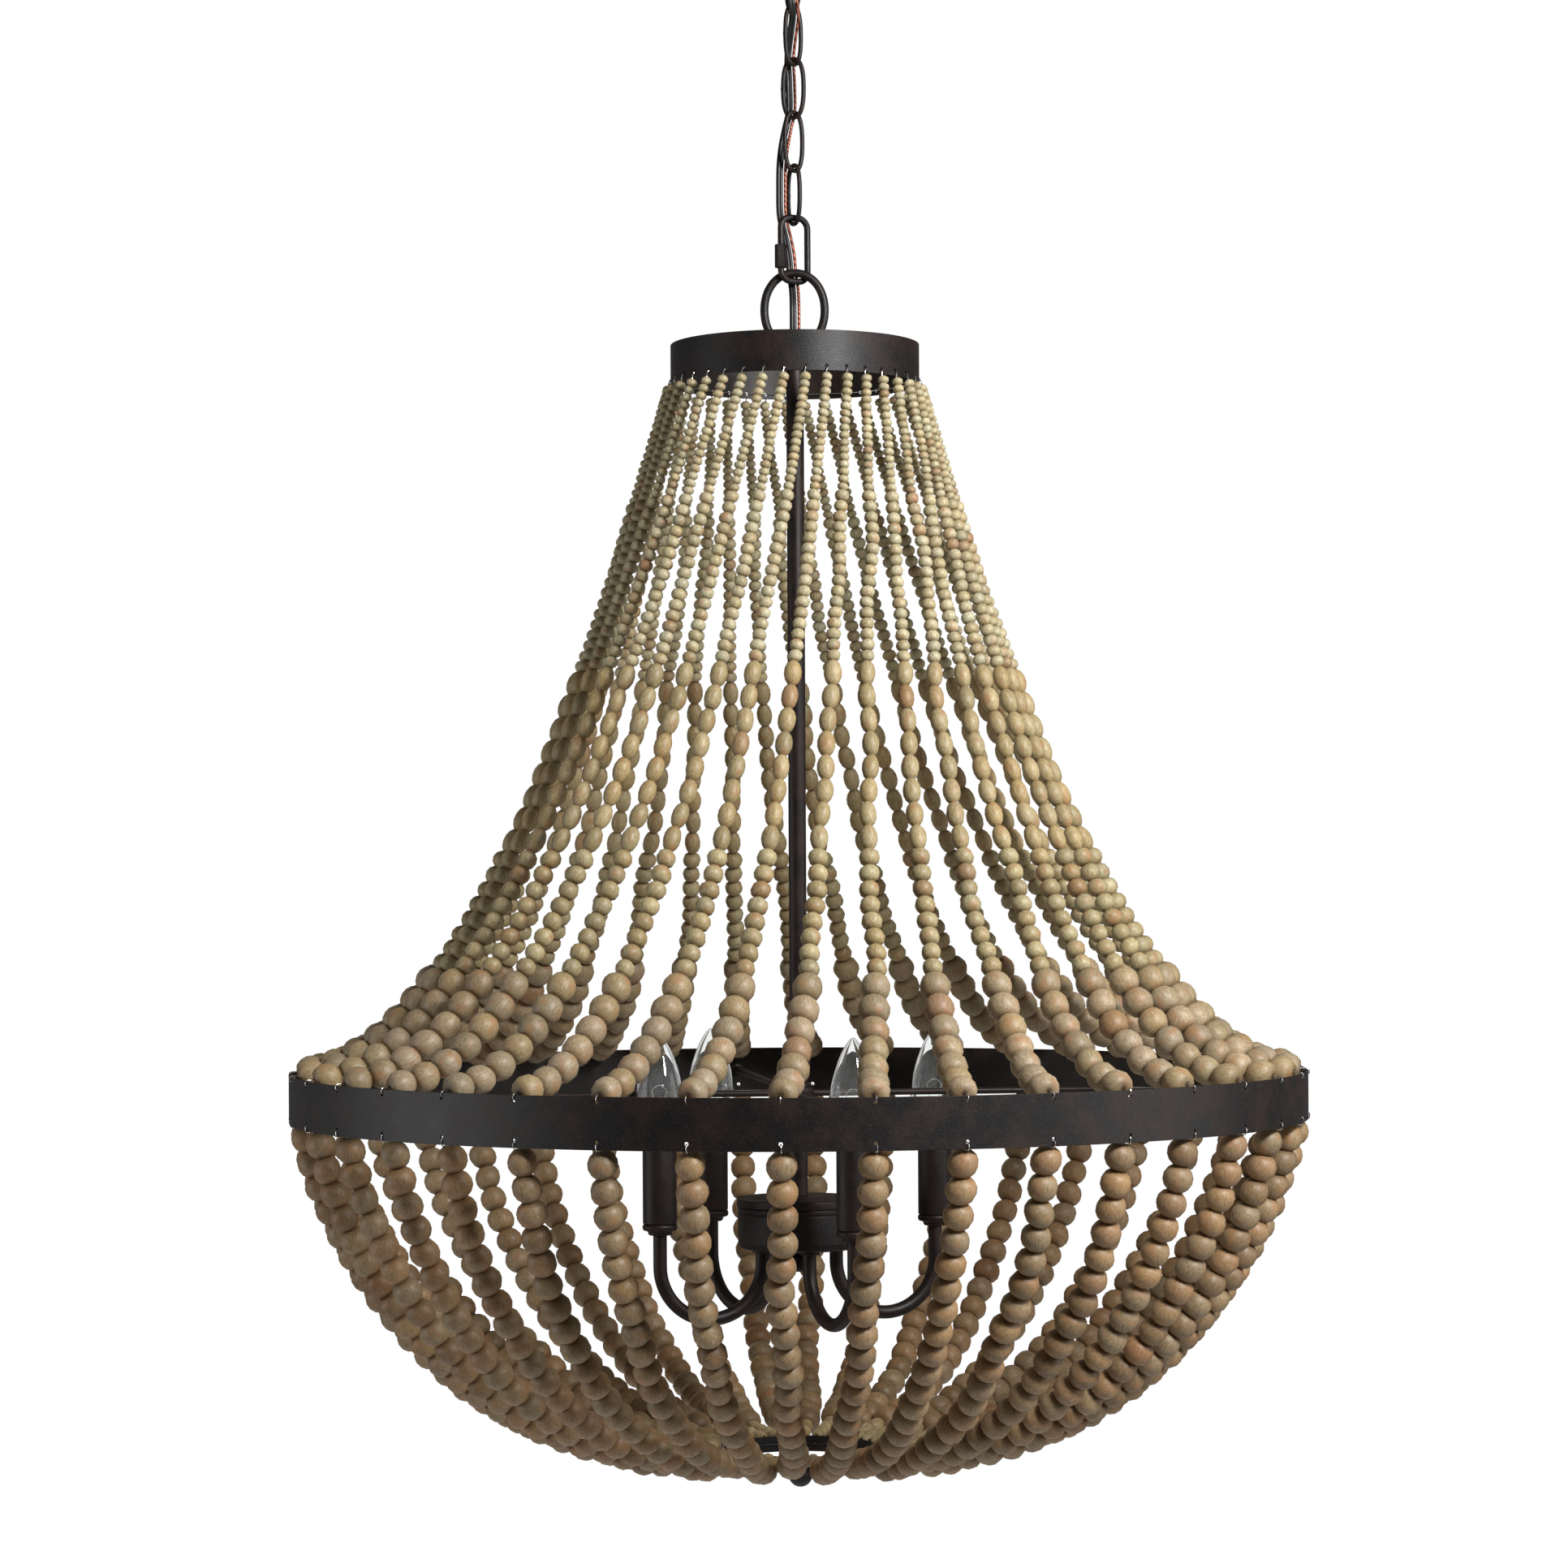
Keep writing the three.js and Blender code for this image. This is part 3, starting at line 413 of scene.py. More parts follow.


# Cords: the flat twin lead and the ground wire, laced through the chain. Each is made in lengths that meet
# half-way down a link, so that every length holds one joint of the chain.
cords = {
    "powerRoute": [
        [-0.9, 0, -1.5], [-0.9, 0, -36], [-1.6, -2.4, -43], [-4.6, -5.8, -52], [-3.4, -6.8, -68],
        [-1.2, -7.2, -84], [-0.2, -5, -91], [-0.4, -2.2, -96], [-1.4, 0.6, -102], [-2.6, 4.8, -110],
        [-3.4, 6.8, -118.6], [-2.8, 6.2, -135], [-2.8, 6.8, -152], [-5, 6.4, -162], [-7.2, 4.4, -173],
        [-8.6, 1.6, -185.4], [-9, 1.2, -202], [-8.6, 1.6, -218.5], [-6, 4.8, -230], [-3.6, 6.8, -242],
        [-2.6, 7.2, -254], [-1.2, 3.8, -265], [-0.9, 0.6, -276], [-0.9, 0, -285], [-0.9, 0, -300],
    ],
    "groundRoute": [
        [2.8, 0, -1.5], [2.8, 0, -36], [2, -2.6, -43], [-1, -6.2, -52], [0.2, -6.8, -68], [2.2, -7.7, -84],
        [3.4, -5.2, -91], [3.2, -1.8, -96], [2.2, 1.2, -102], [1, 5.4, -110], [0.2, 7, -118.6],
        [0.8, 6.4, -135], [0.8, 7, -152], [-1.4, 6.6, -162], [-3.4, 4.2, -173], [-5, 1.2, -185.4],
        [-5.3, 1, -202], [-5, 1, -218.5], [-2.4, 4.6, -230], [0, 6.8, -242], [1, 7.2, -254],
        [2.4, 3.8, -265], [2.8, 0.6, -276], [2.8, 0, -285], [2.8, 0, -300],
    ],
    "endHeight": -839.5,
    "leadWidth": 4.4,
    "leadThickness": 2.6,
    "pinchDepth": 0.3,
    "pinchWidth": 0.45,
    "flatness": 0.8,
    "groundRadius": 1.0,
    "spacing": 1.5,
    "jointHeights": [-57.0, -89.85, -123.25, -156.65, -190.05, -223.45, -259.5],
    "bodies": ["ceiling_mount", *[f"chain_link_{i}" for i in range(1, 6)], "quick_link", "light"],
    "bendReach": 8,
}


# A cord's route cut at the heights half-way between the joints, so that each length holds one joint; the CAD
# node is hidden
def makeCord(name, route, section, finish, node):
    line = splineThrough(route)
    line = evenPath(np.concatenate([line, [[*line[-1, :2], cords["endHeight"]]]]), cords["spacing"])
    joints, heights = cords["jointHeights"], line[:, 2]
    cuts = [heights[0]] + [(a + b) / 2 for a, b in zip(joints, joints[1:])] + [heights[-1]]
    for i, joint in enumerate(joints):
        inside = np.flatnonzero((heights <= cuts[i] + 1e-9) & (heights >= cuts[i + 1] - 1e-9))
        ends = [[np.interp(-cut, -heights, line[:, k]) for k in range(3)] for cut in cuts[i : i + 2]]
        piece = sweptPiece(f"{name}_{i + 1}", [ends[0], *line[inside[1:-1]], ends[1]], section)
        finishPiece(piece, finish)
        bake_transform(piece)
    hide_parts(node)


# The twin lead's section: a flat oval pinched at its middle, where its two cores part
leadAcross, leadUp = circle(1, 20).T
leadAcross = cords["leadWidth"] / 2 * leadAcross
leadPinch = 1 - cords["pinchDepth"] * np.exp(-((leadAcross / cords["pinchWidth"]) ** 2))
leadDeep = cords["leadThickness"] / 2 * np.sign(leadUp) * np.abs(leadUp) ** cords["flatness"] * leadPinch
leadSection = np.stack([-leadDeep, leadAcross], axis=-1)
makeCord("twinLead", cords["powerRoute"], leadSection, "lead", "power_cord")
makeCord("groundLead", cords["groundRoute"], circle(cords["groundRadius"], 10), "copper", "ground_wire")
print("cords made")


# Ceiling end
ceilingEnd = {
    "canopyRadius": 63.5,
    "canopyDepth": 25,
    "canopyBore": 13.3,
    "canopyWall": 1.2,
    "canopyRim": 5,
    "canopyCorner": 8,
    "collarNut": [[13.3, -32.3], [15.5, -32.3], [18, -28.3], [18, -25.3], [13.3, -25.3]],
    "screwCollar": [[4.3, -36], [13, -36], [13, -19], [5.8, -19], [5.8, -31.6], [4.3, -31.6]],
    "loopRadius": 10.5,
    "loopWire": 4,
    "loopCentre": -46.5,
    "nippleRadius": 5.35,
    "nippleBore": 4.3,
    "nippleTop": -0.3,
    "nippleBottom": -31.3,
    "threadDepth": 0.15,
}


def makeCeilingEnd(c):
    # The dish's outer corner and, a wall inside it, the inner corner: quarter circles
    radius, bottom, wall, corner = c["canopyRadius"], -c["canopyDepth"], c["canopyWall"], c["canopyCorner"]
    steps = np.linspace(0, np.pi / 2, 7)[:, None]
    quarter = np.concatenate([np.sin(steps), -np.cos(steps)], axis=1)
    centre = [radius - corner, bottom + corner]
    outer, inner = centre + corner * quarter, centre + (corner - wall) * quarter[::-1]
    rimInner = radius - c["canopyRim"]
    rim = [[radius, 0], [rimInner, 0], [rimInner, -wall], [radius - wall, -wall]]
    ends = [c["canopyBore"], bottom], [c["canopyBore"], bottom + wall]
    dish = turnedPiece("canopyDish", [ends[0], *outer, *rim, *inner, ends[1]], sides=96)
    finishPiece(dish, "bronze", "canopy_cover", "canopy")
    makeTurned([("collarNut", "bronze", "canopy_collar_nut", 0.8, 64, c["collarNut"])], "canopy_cover")
    makeTurned([("screwCollar", "bronze", "canopy_loop", 0.6, 64, c["screwCollar"])], "ceiling_mount")
    line = oval(c["loopRadius"], c["loopRadius"], 2, c["loopCentre"], 72)
    loop = sweptPiece("collarLoop", line, circle(c["loopWire"] / 2), closed=True)
    finishPiece(loop, "bronze", "ceiling_mount")
    # The nipple's thread: the radius rises and falls once in each millimetre of height
    height = np.arange(c["nippleBottom"], c["nippleTop"] + 0.01, 0.25)
    thread = np.stack([c["nippleRadius"] + c["threadDepth"] * np.cos(fullTurn * height), height], axis=-1)
    bore = [[c["nippleBore"], c["nippleTop"]], [c["nippleBore"], c["nippleBottom"]]]
    nipple = turnedPiece("nippleThread", [*thread, *bore], sides=32)
    finishPiece(nipple, "zinc", "ceiling_mount", "threaded_nipple")


makeCeilingEnd(ceilingEnd)
# CAD nodes that stay, with their own materials
keptNodes = ["ceiling_crossbar", "nipple_locknut", "top_bridge", "bottom_strap"]
for keptNode, keptFinish in zip(keptNodes, ("zinc", "zinc", "bronze", "bronze")):
    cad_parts[keptNode].data.materials.clear()
    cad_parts[keptNode].data.materials.append(finishes[keptFinish][0])
print("ceiling end made")


# Chain: rolled wire links with a weld on one leg, the quick link with its nut, and the ring of the light
chain = {
    "halfWidth": 7.05,
    "halfLength": 18.3,
    "wire": 2.9,
    "roundness": 2.5,
    "turns": [-56, 47, -25, 40, -59],
    "tops": [-53.25, -86.65, -120.05, -153.45, -186.85],
    "weldSwell": 0.12,
    "weldReach": 1.2,
}
quickLink = {
    "halfWidth": 10,
    "halfLength": 19.9,
    "wire": 4,
    "corner": 6.8,
    "turn": 34,
    "centre": -239.6,
    "gap": [-246.0, -251.0],
    "nut": ringOutline(2.3, 3.9, -251.8, -237.1),
}
topRing = {
    "halfWidth": 18.9,
    "halfHeight": 23.4,
    "roundness": 2.1,
    "wire": 5.2,
    "centre": -277.7,
    "neck": ringOutline(4.3, 7.5, -310.0, -299.7),
}


# Each link is one oval, turned and let down to its place
def makeChain(c):
    line = evenPath(oval(c["halfWidth"], c["halfLength"], c["roundness"], 0, 720), 1.1, closed=True)
    # The weld: the wire swells where its ends meet, half-way down one leg
    weld = 1 + c["weldSwell"] * np.exp(-((line[:, 2] / c["weldReach"]) ** 2)) * (line[:, 0] < 0)
    for i, (turn, top) in enumerate(zip(c["turns"], c["tops"])):
        placed = turnAbout(line, turn) + [0, 0, top - c["halfLength"]]
        guide = turnAbout([0, 1, 0], turn)
        piece = sweptPiece(f"chainLink_{i + 1}", placed, circle(c["wire"] / 2, 12), guide, True, weld)
        finishPiece(piece, "bronze", f"chain_link_{i + 1}", f"chain_link_{i + 1}")


# The quick link's wire runs round four quarter circles from one end of its gap to the other
def makeQuickLink(c):
    halfWidth, bend = c["halfWidth"], c["corner"]
    arc = np.linspace(0, np.pi / 2, 12)
    line = [[-halfWidth, 0, c["gap"][0] - c["centre"]]]
    for sx, sz, start in ((-1, 1, -1), (1, 1, 0), (1, -1, 1), (-1, -1, 2)):
        angle = arc + start * np.pi / 2
        x = sx * (halfWidth - bend) + bend * np.sin(angle)
        z = sz * (c["halfLength"] - bend) + bend * np.cos(angle)
        line += [*np.stack([x, 0 * arc, z], axis=-1)]
    line = evenPath([*line, [-halfWidth, 0, c["gap"][1] - c["centre"]]], 1.2)
    placed = turnAbout(line, c["turn"]) + [0, 0, c["centre"]]
    piece = sweptPiece("quickLinkWire", placed, circle(c["wire"] / 2), turnAbout([0, 1, 0], c["turn"]))
    finishPiece(piece, "bronze", "quick_link", "quick_link")
    place = turnAbout([-halfWidth, 0, 0], c["turn"])[:2]
    nut = turnedPiece("quickLinkNut", easedOutline(c["nut"], 0.5), place, sides=6, smoothAngle=20)
    finishPiece(nut, "bronze", "quick_link_nut", "quick_link_nut")


def makeTopRing(c):
    line = evenPath(oval(c["halfWidth"], c["halfHeight"], c["roundness"], c["centre"], 360), 1.4, closed=True)
    piece = sweptPiece("ringLoop", line, circle(c["wire"] / 2, 16), closed=True)
    finishPiece(piece, "bronze", "light", "ring_loop")
    makeTurned([("ringNeck", "bronze", None, 0.8, 48, c["neck"])], "light")


makeChain(chain)
makeQuickLink(quickLink)
makeTopRing(topRing)
print("chain and ring made")


# Bands: flat bar rolled into rings, with rows of punched holes for the strands. A row is its height and the
# angle of its first hole, which counts from the front towards +X.
strandCount = 38
bandWall = 1.5
bands = {
    "topBand": {
        "node": "top_band", "radius": 78, "low": -324.7, "high": -299.7,
        "rows": [(-321.7, 4.9)], "hole": 1.25, "sides": 152,
    },
    "hoopBand": {
        "node": "hoop_band", "radius": 317.5, "low": -783.8, "high": -754.0,
        "rows": [(-757.0, -1.8), (-779.6, -1.8)], "hole": 1.25, "sides": 380,
    },
    "bottomBand": {
        "node": "bottom_ring", "radius": 48, "low": -1000.2, "high": -990.2,
        "rows": [(-995.2, -1.8)], "hole": 0.6, "sides": 152,
    },
}


# A column of turns from +X, one for each strand, from the first one's angle
def strandTurns(first, strands=range(strandCount)):
    return first - 90 + np.asarray(strands)[:, None] * 360 / strandCount


# Values of one field of a mesh's corners, faces or points
def readField(collection, field, width=1, kind=float):
    values = np.empty(len(collection) * width, kind)
    collection.foreach_get(field, values)
    return values.reshape(-1, width)


# Corners of the faces that look straight in or out take the radial direction as their normal, so that the
# long faces between the holes shade as one smooth wall
def setWallNormals(mesh):
    corners = readField(mesh.loops, "vertex_index", kind=int)[:, 0]
    normals = readField(mesh.corner_normals, "vector", 3)
    radial = readField(mesh.vertices, "co", 3)[corners] * [1, 1, 0]
    radial /= np.linalg.norm(radial, axis=1, keepdims=True)
    sizes = readField(mesh.polygons, "loop_total", kind=int)[:, 0]
    facing = np.sum(np.repeat(readField(mesh.polygons, "normal", 3), sizes, axis=0) * radial, axis=1)
    onWall = np.abs(facing) > 0.995
    normals[onWall] = radial[onWall] * np.sign(facing[onWall])[:, None]
    mesh.normals_split_custom_set(normals.tolist())


# A ring less a pin at each hole, which reaches a millimetre past the wall on both sides
def makeBand(name, band):
    radius, inner = band["radius"], band["radius"] - bandWall
    outline = easedOutline(ringOutline(inner, radius, band["low"], band["high"]), 0.35)
    ring = turnedPiece(name, outline, sides=band["sides"])
    lines, guides = [], []
    for height, first in band["rows"]:
        turns = strandTurns(first)
        lines.append(turnAbout([[inner - 1, 0, height], [radius + 1, 0, height]], turns))
        guides.append(turnAbout([[0, 1, 0]], turns))
    lines, guides, section = np.concatenate(lines), np.concatenate(guides), circle(band["hole"], 12)
    pins = sweptPiece(name + "Pins", lines, section, guides, smoothAngle=None)
    cut = ring.modifiers.new("holes", "BOOLEAN")
    cut.operation = "DIFFERENCE"
    cut.solver = "EXACT"
    cut.object = pins
    bpy.context.view_layer.update()
    holed = bpy.data.meshes.new_from_object(ring.evaluated_get(bpy.context.evaluated_depsgraph_get()))
    ring.modifiers.clear()
    ring.data = holed
    bpy.data.objects.remove(pins)
    holed.polygons.foreach_set("use_smooth", np.ones(len(holed.polygons), bool))
    holed.set_sharp_from_angle(angle=math.radians(32))
    setWallNormals(holed)
    finishPiece(ring, "bronze", "light", band["node"])


for bandName, bandSizes in bands.items():
    makeBand(bandName, bandSizes)
print("bands made")


# Stem, its small collar, the hub with a rolled bead at its top and bottom, and the spokes
stemPieces = [
    ("stemUpper", "brownBronze", "stem_upper", 0.3, 48, ringOutline(4.3, 5.5, -761.4, -313.1)),
    ("stemLower", "brownBronze", "stem_lower", 0.3, 48, ringOutline(4.3, 5.5, -833.2, -776.0)),
    ("stemCollar", "brownBronze", None, 0.9, 48, ringOutline(5.2, 7.6, -751.2, -748.0)),
    ("spokeHub", "brownBronze", "spoke_hub", 0.6, 48, [
        [4.3, -775.7], [7, -775.7], [8.4, -774.1], [7.6, -772.5], [9, -771.7], [9, -765.7], [7.6, -764.9],
        [8.4, -763.3], [7, -761.7], [4.3, -761.7],
    ]),
]
spokes = {
    "radius": 2.1,
    "height": -768.7,
    "angles": [8, 98, 188, 278],
    "reach": [9.3, 313.0, 313.4, 315.4],
    "foot": 1.9,
}


# Each spoke is a rod that widens to a flat foot over its last 2 mm, where it meets the hoop
def makeSpokes(c):
    line = np.array([[reach, 0, c["height"]] for reach in c["reach"]])
    for i, degrees in enumerate(c["angles"]):
        swell = [1, 1, c["foot"], c["foot"]]
        section = circle(c["radius"], 16)
        piece = sweptPiece(f"spoke_rod_{i + 1}", turnAbout(line, degrees), section, (0, 0, 1), scale=swell)
        finishPiece(piece, "brownBronze", "light", f"spoke_{i + 1}")


makeTurned(stemPieces, "light")
makeSpokes(spokes)
print("stem and spokes made")


# Candle cluster: lidded drum with its finial nut, and four arms with cup, sleeve, socket and clear lamp
drumPieces = [
    ("drumLid", "brownBronze", "cluster_lid", 0.5, 96, [
        [4.3, -839.5], [39.2, -839.5], [39.2, -834.7], [37.8, -834.1], [20, -833.9], [18.8, -833.5],
        [4.3, -833.5],
    ]),
    ("drumBody", "bronze", "cluster_body", 0.7, 96, [
        [0, -866], [34.9, -866], [37.7, -864.8], [38.1, -862.5], [38.5, -861.5], [38.5, -844], [38, -843.6],
        [38, -843], [38.5, -842.6], [38.5, -839.8], [37, -839.8], [37, -863], [34, -864], [0, -864],
    ]),
    ("finialNut", "bronze", "cluster_finial", 1.2, 48, [
        [0, -880.8], [3.5, -880.8], [5.4, -879.2], [6, -876], [5.2, -871.7], [3.5, -869.9], [3.5, -866.3],
        [0, -866.3],
    ]),
]
washerPieces = [("armWasher", "brownBronze", None, 0.5, 32, ringOutline(4.05, 6.4, -868.1, -866.3))]
candlePieces = [
    ("candleCup", "brownBronze", "candle_cup", 0.8, 40, [
        [0, -854.9], [6.2, -854.9], [7.4, -854.2], [7.4, -852.7], [8.6, -852.1], [10.4, -851.7],
        [10.9, -850.3], [10.9, -849.2], [10.2, -847.8], [0, -847.8],
    ]),
    ("candleSleeve", "sleeve", "candle_sleeve", 0.25, 48, ringOutline(9.5, 10.6, -847.5, -796.7)),
    ("lampHolder", "brass", "lamp_socket", 0.4, 32, [
        [0, -847.5], [8.2, -847.5], [8.2, -799.9], [6.3, -799.9], [6.3, -821.9], [0, -821.9],
    ]),
]
arms = {
    "legCircle": 24,
    "legAngles": [195, 130, 285, 15],
    "turns": [201, 127.4, 293.5, 21.5],
    "reach": 67.7,
    "radius": 4.25,
    "legTop": -860.0,
    "bendHeight": -874.6,
    "cupFoot": -855.2,
}
lamps = {
    "glassLow": -799.1,
    "glassHigh": -730.7,
    "radius": 15.5,
    "glassWall": 0.7,
    "torpedo": [  # shares of the radius and the height
        [0.40, 0.0], [0.62, 0.07], [0.86, 0.17], [0.985, 0.3], [0.985, 0.42], [0.88, 0.58], [0.7, 0.73],
        [0.48, 0.86], [0.25, 0.95], [0.1, 0.99], [0.0, 1.0],
    ],
    "baseFoot": [[0, -821.6], [2.6, -821.6], [4.6, -819]],
    "baseRim": [[6.2, -800.5], [6.2, -798.7], [5.2, -798.7], [0, -798.9]],
    "threadHeights": (-818.6, -801.1),
    "threadRadius": 5.55,
    "threadDepth": 0.3,
    "threadPitch": 3.2,
    "stem": [[0, -798.5], [4.2, -798.3], [2, -793.1], [1.6, -783.1], [2.2, -780.1], [0, -779.1]],
    "supportFoot": (1.2, -782.1),
    "supportTip": (4.6, -765.1),
    "supportRadius": 0.22,
    "coil": {"arch": 3.2, "radius": 0.35, "turns": 40, "wire": 0.09},
}


# The arm's line: down the leg, half a circle outwards, and up to the cup
def makeArm(c, number, legAngle, turn):
    outward, foot = turnAbout([1, 0, 0], turn), turnAbout([c["legCircle"], 0, 0], legAngle)
    bend = c["reach"] / 2
    arc = np.linspace(0, np.pi, 48)
    across = np.concatenate([[0], bend * (1 - np.cos(arc)), [c["reach"]]])
    height = np.concatenate([[c["legTop"]], c["bendHeight"] - bend * np.sin(arc), [c["cupFoot"]]])
    line = foot + outward * across[:, None] + np.array([0, 0, 1]) * height[:, None]
    section, sideways = circle(c["radius"], 20), turnAbout([0, 1, 0], turn)
    piece = sweptPiece(f"armTube_{number}", evenPath(line, 2.0), section, sideways)
    finishPiece(piece, "brownBronze", f"arm_{number}", f"arm_{number}")
    makeTurned(washerPieces, f"arm_{number}", foot[:2], f"_{number}")
    place = (foot + outward * c["reach"])[:2]
    makeTurned(candlePieces, f"arm_{number}", place, f"_{number}")
    makeLamp(lamps, number, place)


# The lamp's glass is a smooth curve through the torpedo's shares, and the same curve again a wall inside it
def makeLamp(c, number, place):
    low, high, body = c["glassLow"], c["glassHigh"], f"bulb_{number}"
    shares = np.array([[r, h, 0] for r, h in c["torpedo"]])
    outline = splineThrough(shares, 6)[:, :2] * [c["radius"], high - low] + [0, low]
    outline[-1, 0] = 0
    slope = np.gradient(outline, axis=0)
    inward = np.stack([-slope[:, 1], slope[:, 0]], axis=-1) / np.linalg.norm(slope, axis=1, keepdims=True)
    inner = outline + c["glassWall"] * inward
    inner[:, 0] = np.maximum(inner[:, 0], 0)
    inner[-1, 0] = 0
    glass = turnedPiece(f"lampGlass_{number}", [*outline, *inner[::-1]], place, smoothAngle=70)
    finishPiece(glass, "glass", body, body)
    # The screw base: its radius waves once in a pitch of the thread, above a narrower foot
    height = np.arange(*c["threadHeights"], 0.4)
    wave = np.cos(fullTurn * (height - height[0]) / c["threadPitch"])
    thread = np.stack([c["threadRadius"] + c["threadDepth"] * wave, height], axis=-1)
    base = turnedPiece(f"lampBase_{number}", [*c["baseFoot"], *thread, *c["baseRim"]], place, sides=32)
    finishPiece(base, "lampBase", body)
    # Inside the glass: a flared stem of glass, two support wires and an arched coil of filament between them
    makeTurned([("lampStem", "glass", None, 1.5, 24, c["stem"])], body, place, f"_{number}")
    (footX, footZ), (tipX, tipZ), coil = c["supportFoot"], c["supportTip"], c["coil"]
    rise, share = np.linspace(0, 1, 14), np.linspace(0, 1, 160)
    angle = fullTurn * coil["turns"] * share
    arch = tipZ + coil["arch"] * np.sin(np.pi * share) + coil["radius"] * np.sin(angle)
    out, up, thick = footX + (tipX - footX) * rise, footZ + (tipZ - footZ) * rise, c["supportRadius"]
    for part, radius, line in (
        ("left", thick, [-out, 0 * rise, up]),
        ("right", thick, [out, 0 * rise, up]),
        ("coil", coil["wire"], [tipX * (2 * share - 1), coil["radius"] * np.cos(angle), arch]),
    ):
        path = np.stack(line, axis=-1) + [*place, 0]
        wire = sweptPiece(f"lampWire_{part}_{number}", path, circle(radius, 6))
        finishPiece(wire, "wire", body)


makeTurned(drumPieces, "light")
for armNumber, (legAngle, armTurn) in enumerate(zip(arms["legAngles"], arms["turns"])):
    makeArm(arms, armNumber + 1, legAngle, armTurn)
print("candle cluster made")


# Beads. All strands of a tier are one strand turned about the middle, so one is worked out and then turned.
# Kinds of bead: count, radius, length, length if it were not faced off, tones, columns and rings of points
strandShape = {
    "upper": {
        "startRadius": 79.6, "startAngle": 4.9, "startHeight": -326.4,
        "endRadius": 312.5, "endAngle": -1.8 - 2 * 360 / 38, "endHeight": -753.0,
        "fallPower": 1.93, "startPower": 1.04, "sway": [(1.3, 3), (0.9, 7), (0.45, 15)],
        "kinds": [
            (16, 3.5, 4.5, 5.2, "small", 9, 4),
            (16, 4.5, 6.5, 7.4, "small", 10, 5),
            (8, 5.4, 14.3, 15.8, "oval", 10, 6),
            (8, 6.2, 9.9, 11.2, "round", 10, 5),
            (7, 9.0, 15.0, 17.6, "largeUpper", 12, 6),
        ],
    },
    "lower": {
        "startRadius": 310, "startAngle": -1.8, "startHeight": -784.6,
        "endRadius": 51.4, "endAngle": -1.8, "endHeight": -991.5,
        "fallPower": 2.58, "startPower": 0.726, "sway": [(1.1, 3), (0.7, 7), (0.35, 15)],
        "kinds": [
            (20, 9.0, 15.4, 17.6, "largeLower", 12, 6),
            (4, 4.3, 13.0, 14.6, "oval", 10, 6),
        ],
    },
}
beadLook = {
    "boreRadius": 1.1,
    "boreDepth": 0.97,  # of the half length
    "faceShade": 0.55,
    "thicknessSpread": 0.025,
    "tiltSpread": 0.05,
    "grainShift": 400,
    "tones": {  # a few stain tones for each kind of bead
        "small": ["#cfc5a1", "#c8bd9a", "#d3cbaa", "#c4b994"],
        "oval": ["#bbaa81", "#c2b189", "#b4a47c", "#c0ab7e"],
        "round": ["#beb18a", "#b8aa84", "#c4b890", "#b6a57d"],
        "largeUpper": ["#b19f81", "#b9a68a", "#a79679", "#b5a17c"],
        "largeLower": ["#a38e6e", "#ab8c69", "#a99170", "#967d5d", "#b0926b"],
    },
    "brightSpread": 0.06,
    "warmSpread": 0.02,
    "warmTint": [1, 0, -1.4],
    "rust": "#9c6a45",
    "rustShare": 0.03,
    "crowd": {"height": 1.6, "place": 0.82, "reach": 0.09},
}
randomBeads = np.random.default_rng(38)


# The strand's line: straight in plan from start to end; its height has fallen by 1 - (1 - share) ** fallPower
# of the way, raised to startPower
def strandLine(s, samples=600):
    share = np.linspace(0, 1, samples)[:, None]
    start = turnAbout([s["startRadius"], 0, s["startHeight"]], s["startAngle"] - 90)
    end = turnAbout([s["endRadius"], 0, s["endHeight"]], s["endAngle"] - 90)
    line = start + (end - start) * share
    fall = (1 - (1 - share[:, 0]) ** s["fallPower"]) ** s["startPower"]
    line[:, 2] = start[2] + (end[2] - start[2]) * fall
    return line


# One bead's rings, as shares of its radius and half length: an ellipse turned about the bore, faced off flat
# where it meets its neighbour, with the bore's mouth in the middle of each flat
def beadRings(size, length, roundLength, rings):
    faced = length / roundLength
    angle = np.linspace(-math.asin(faced), math.asin(faced), rings)
    bore, depth = beadLook["boreRadius"] / size, beadLook["boreDepth"]
    radius = np.concatenate([[bore], np.cos(angle), [bore]])
    return radius, np.concatenate([[-depth], np.sin(angle) / faced, [depth]])


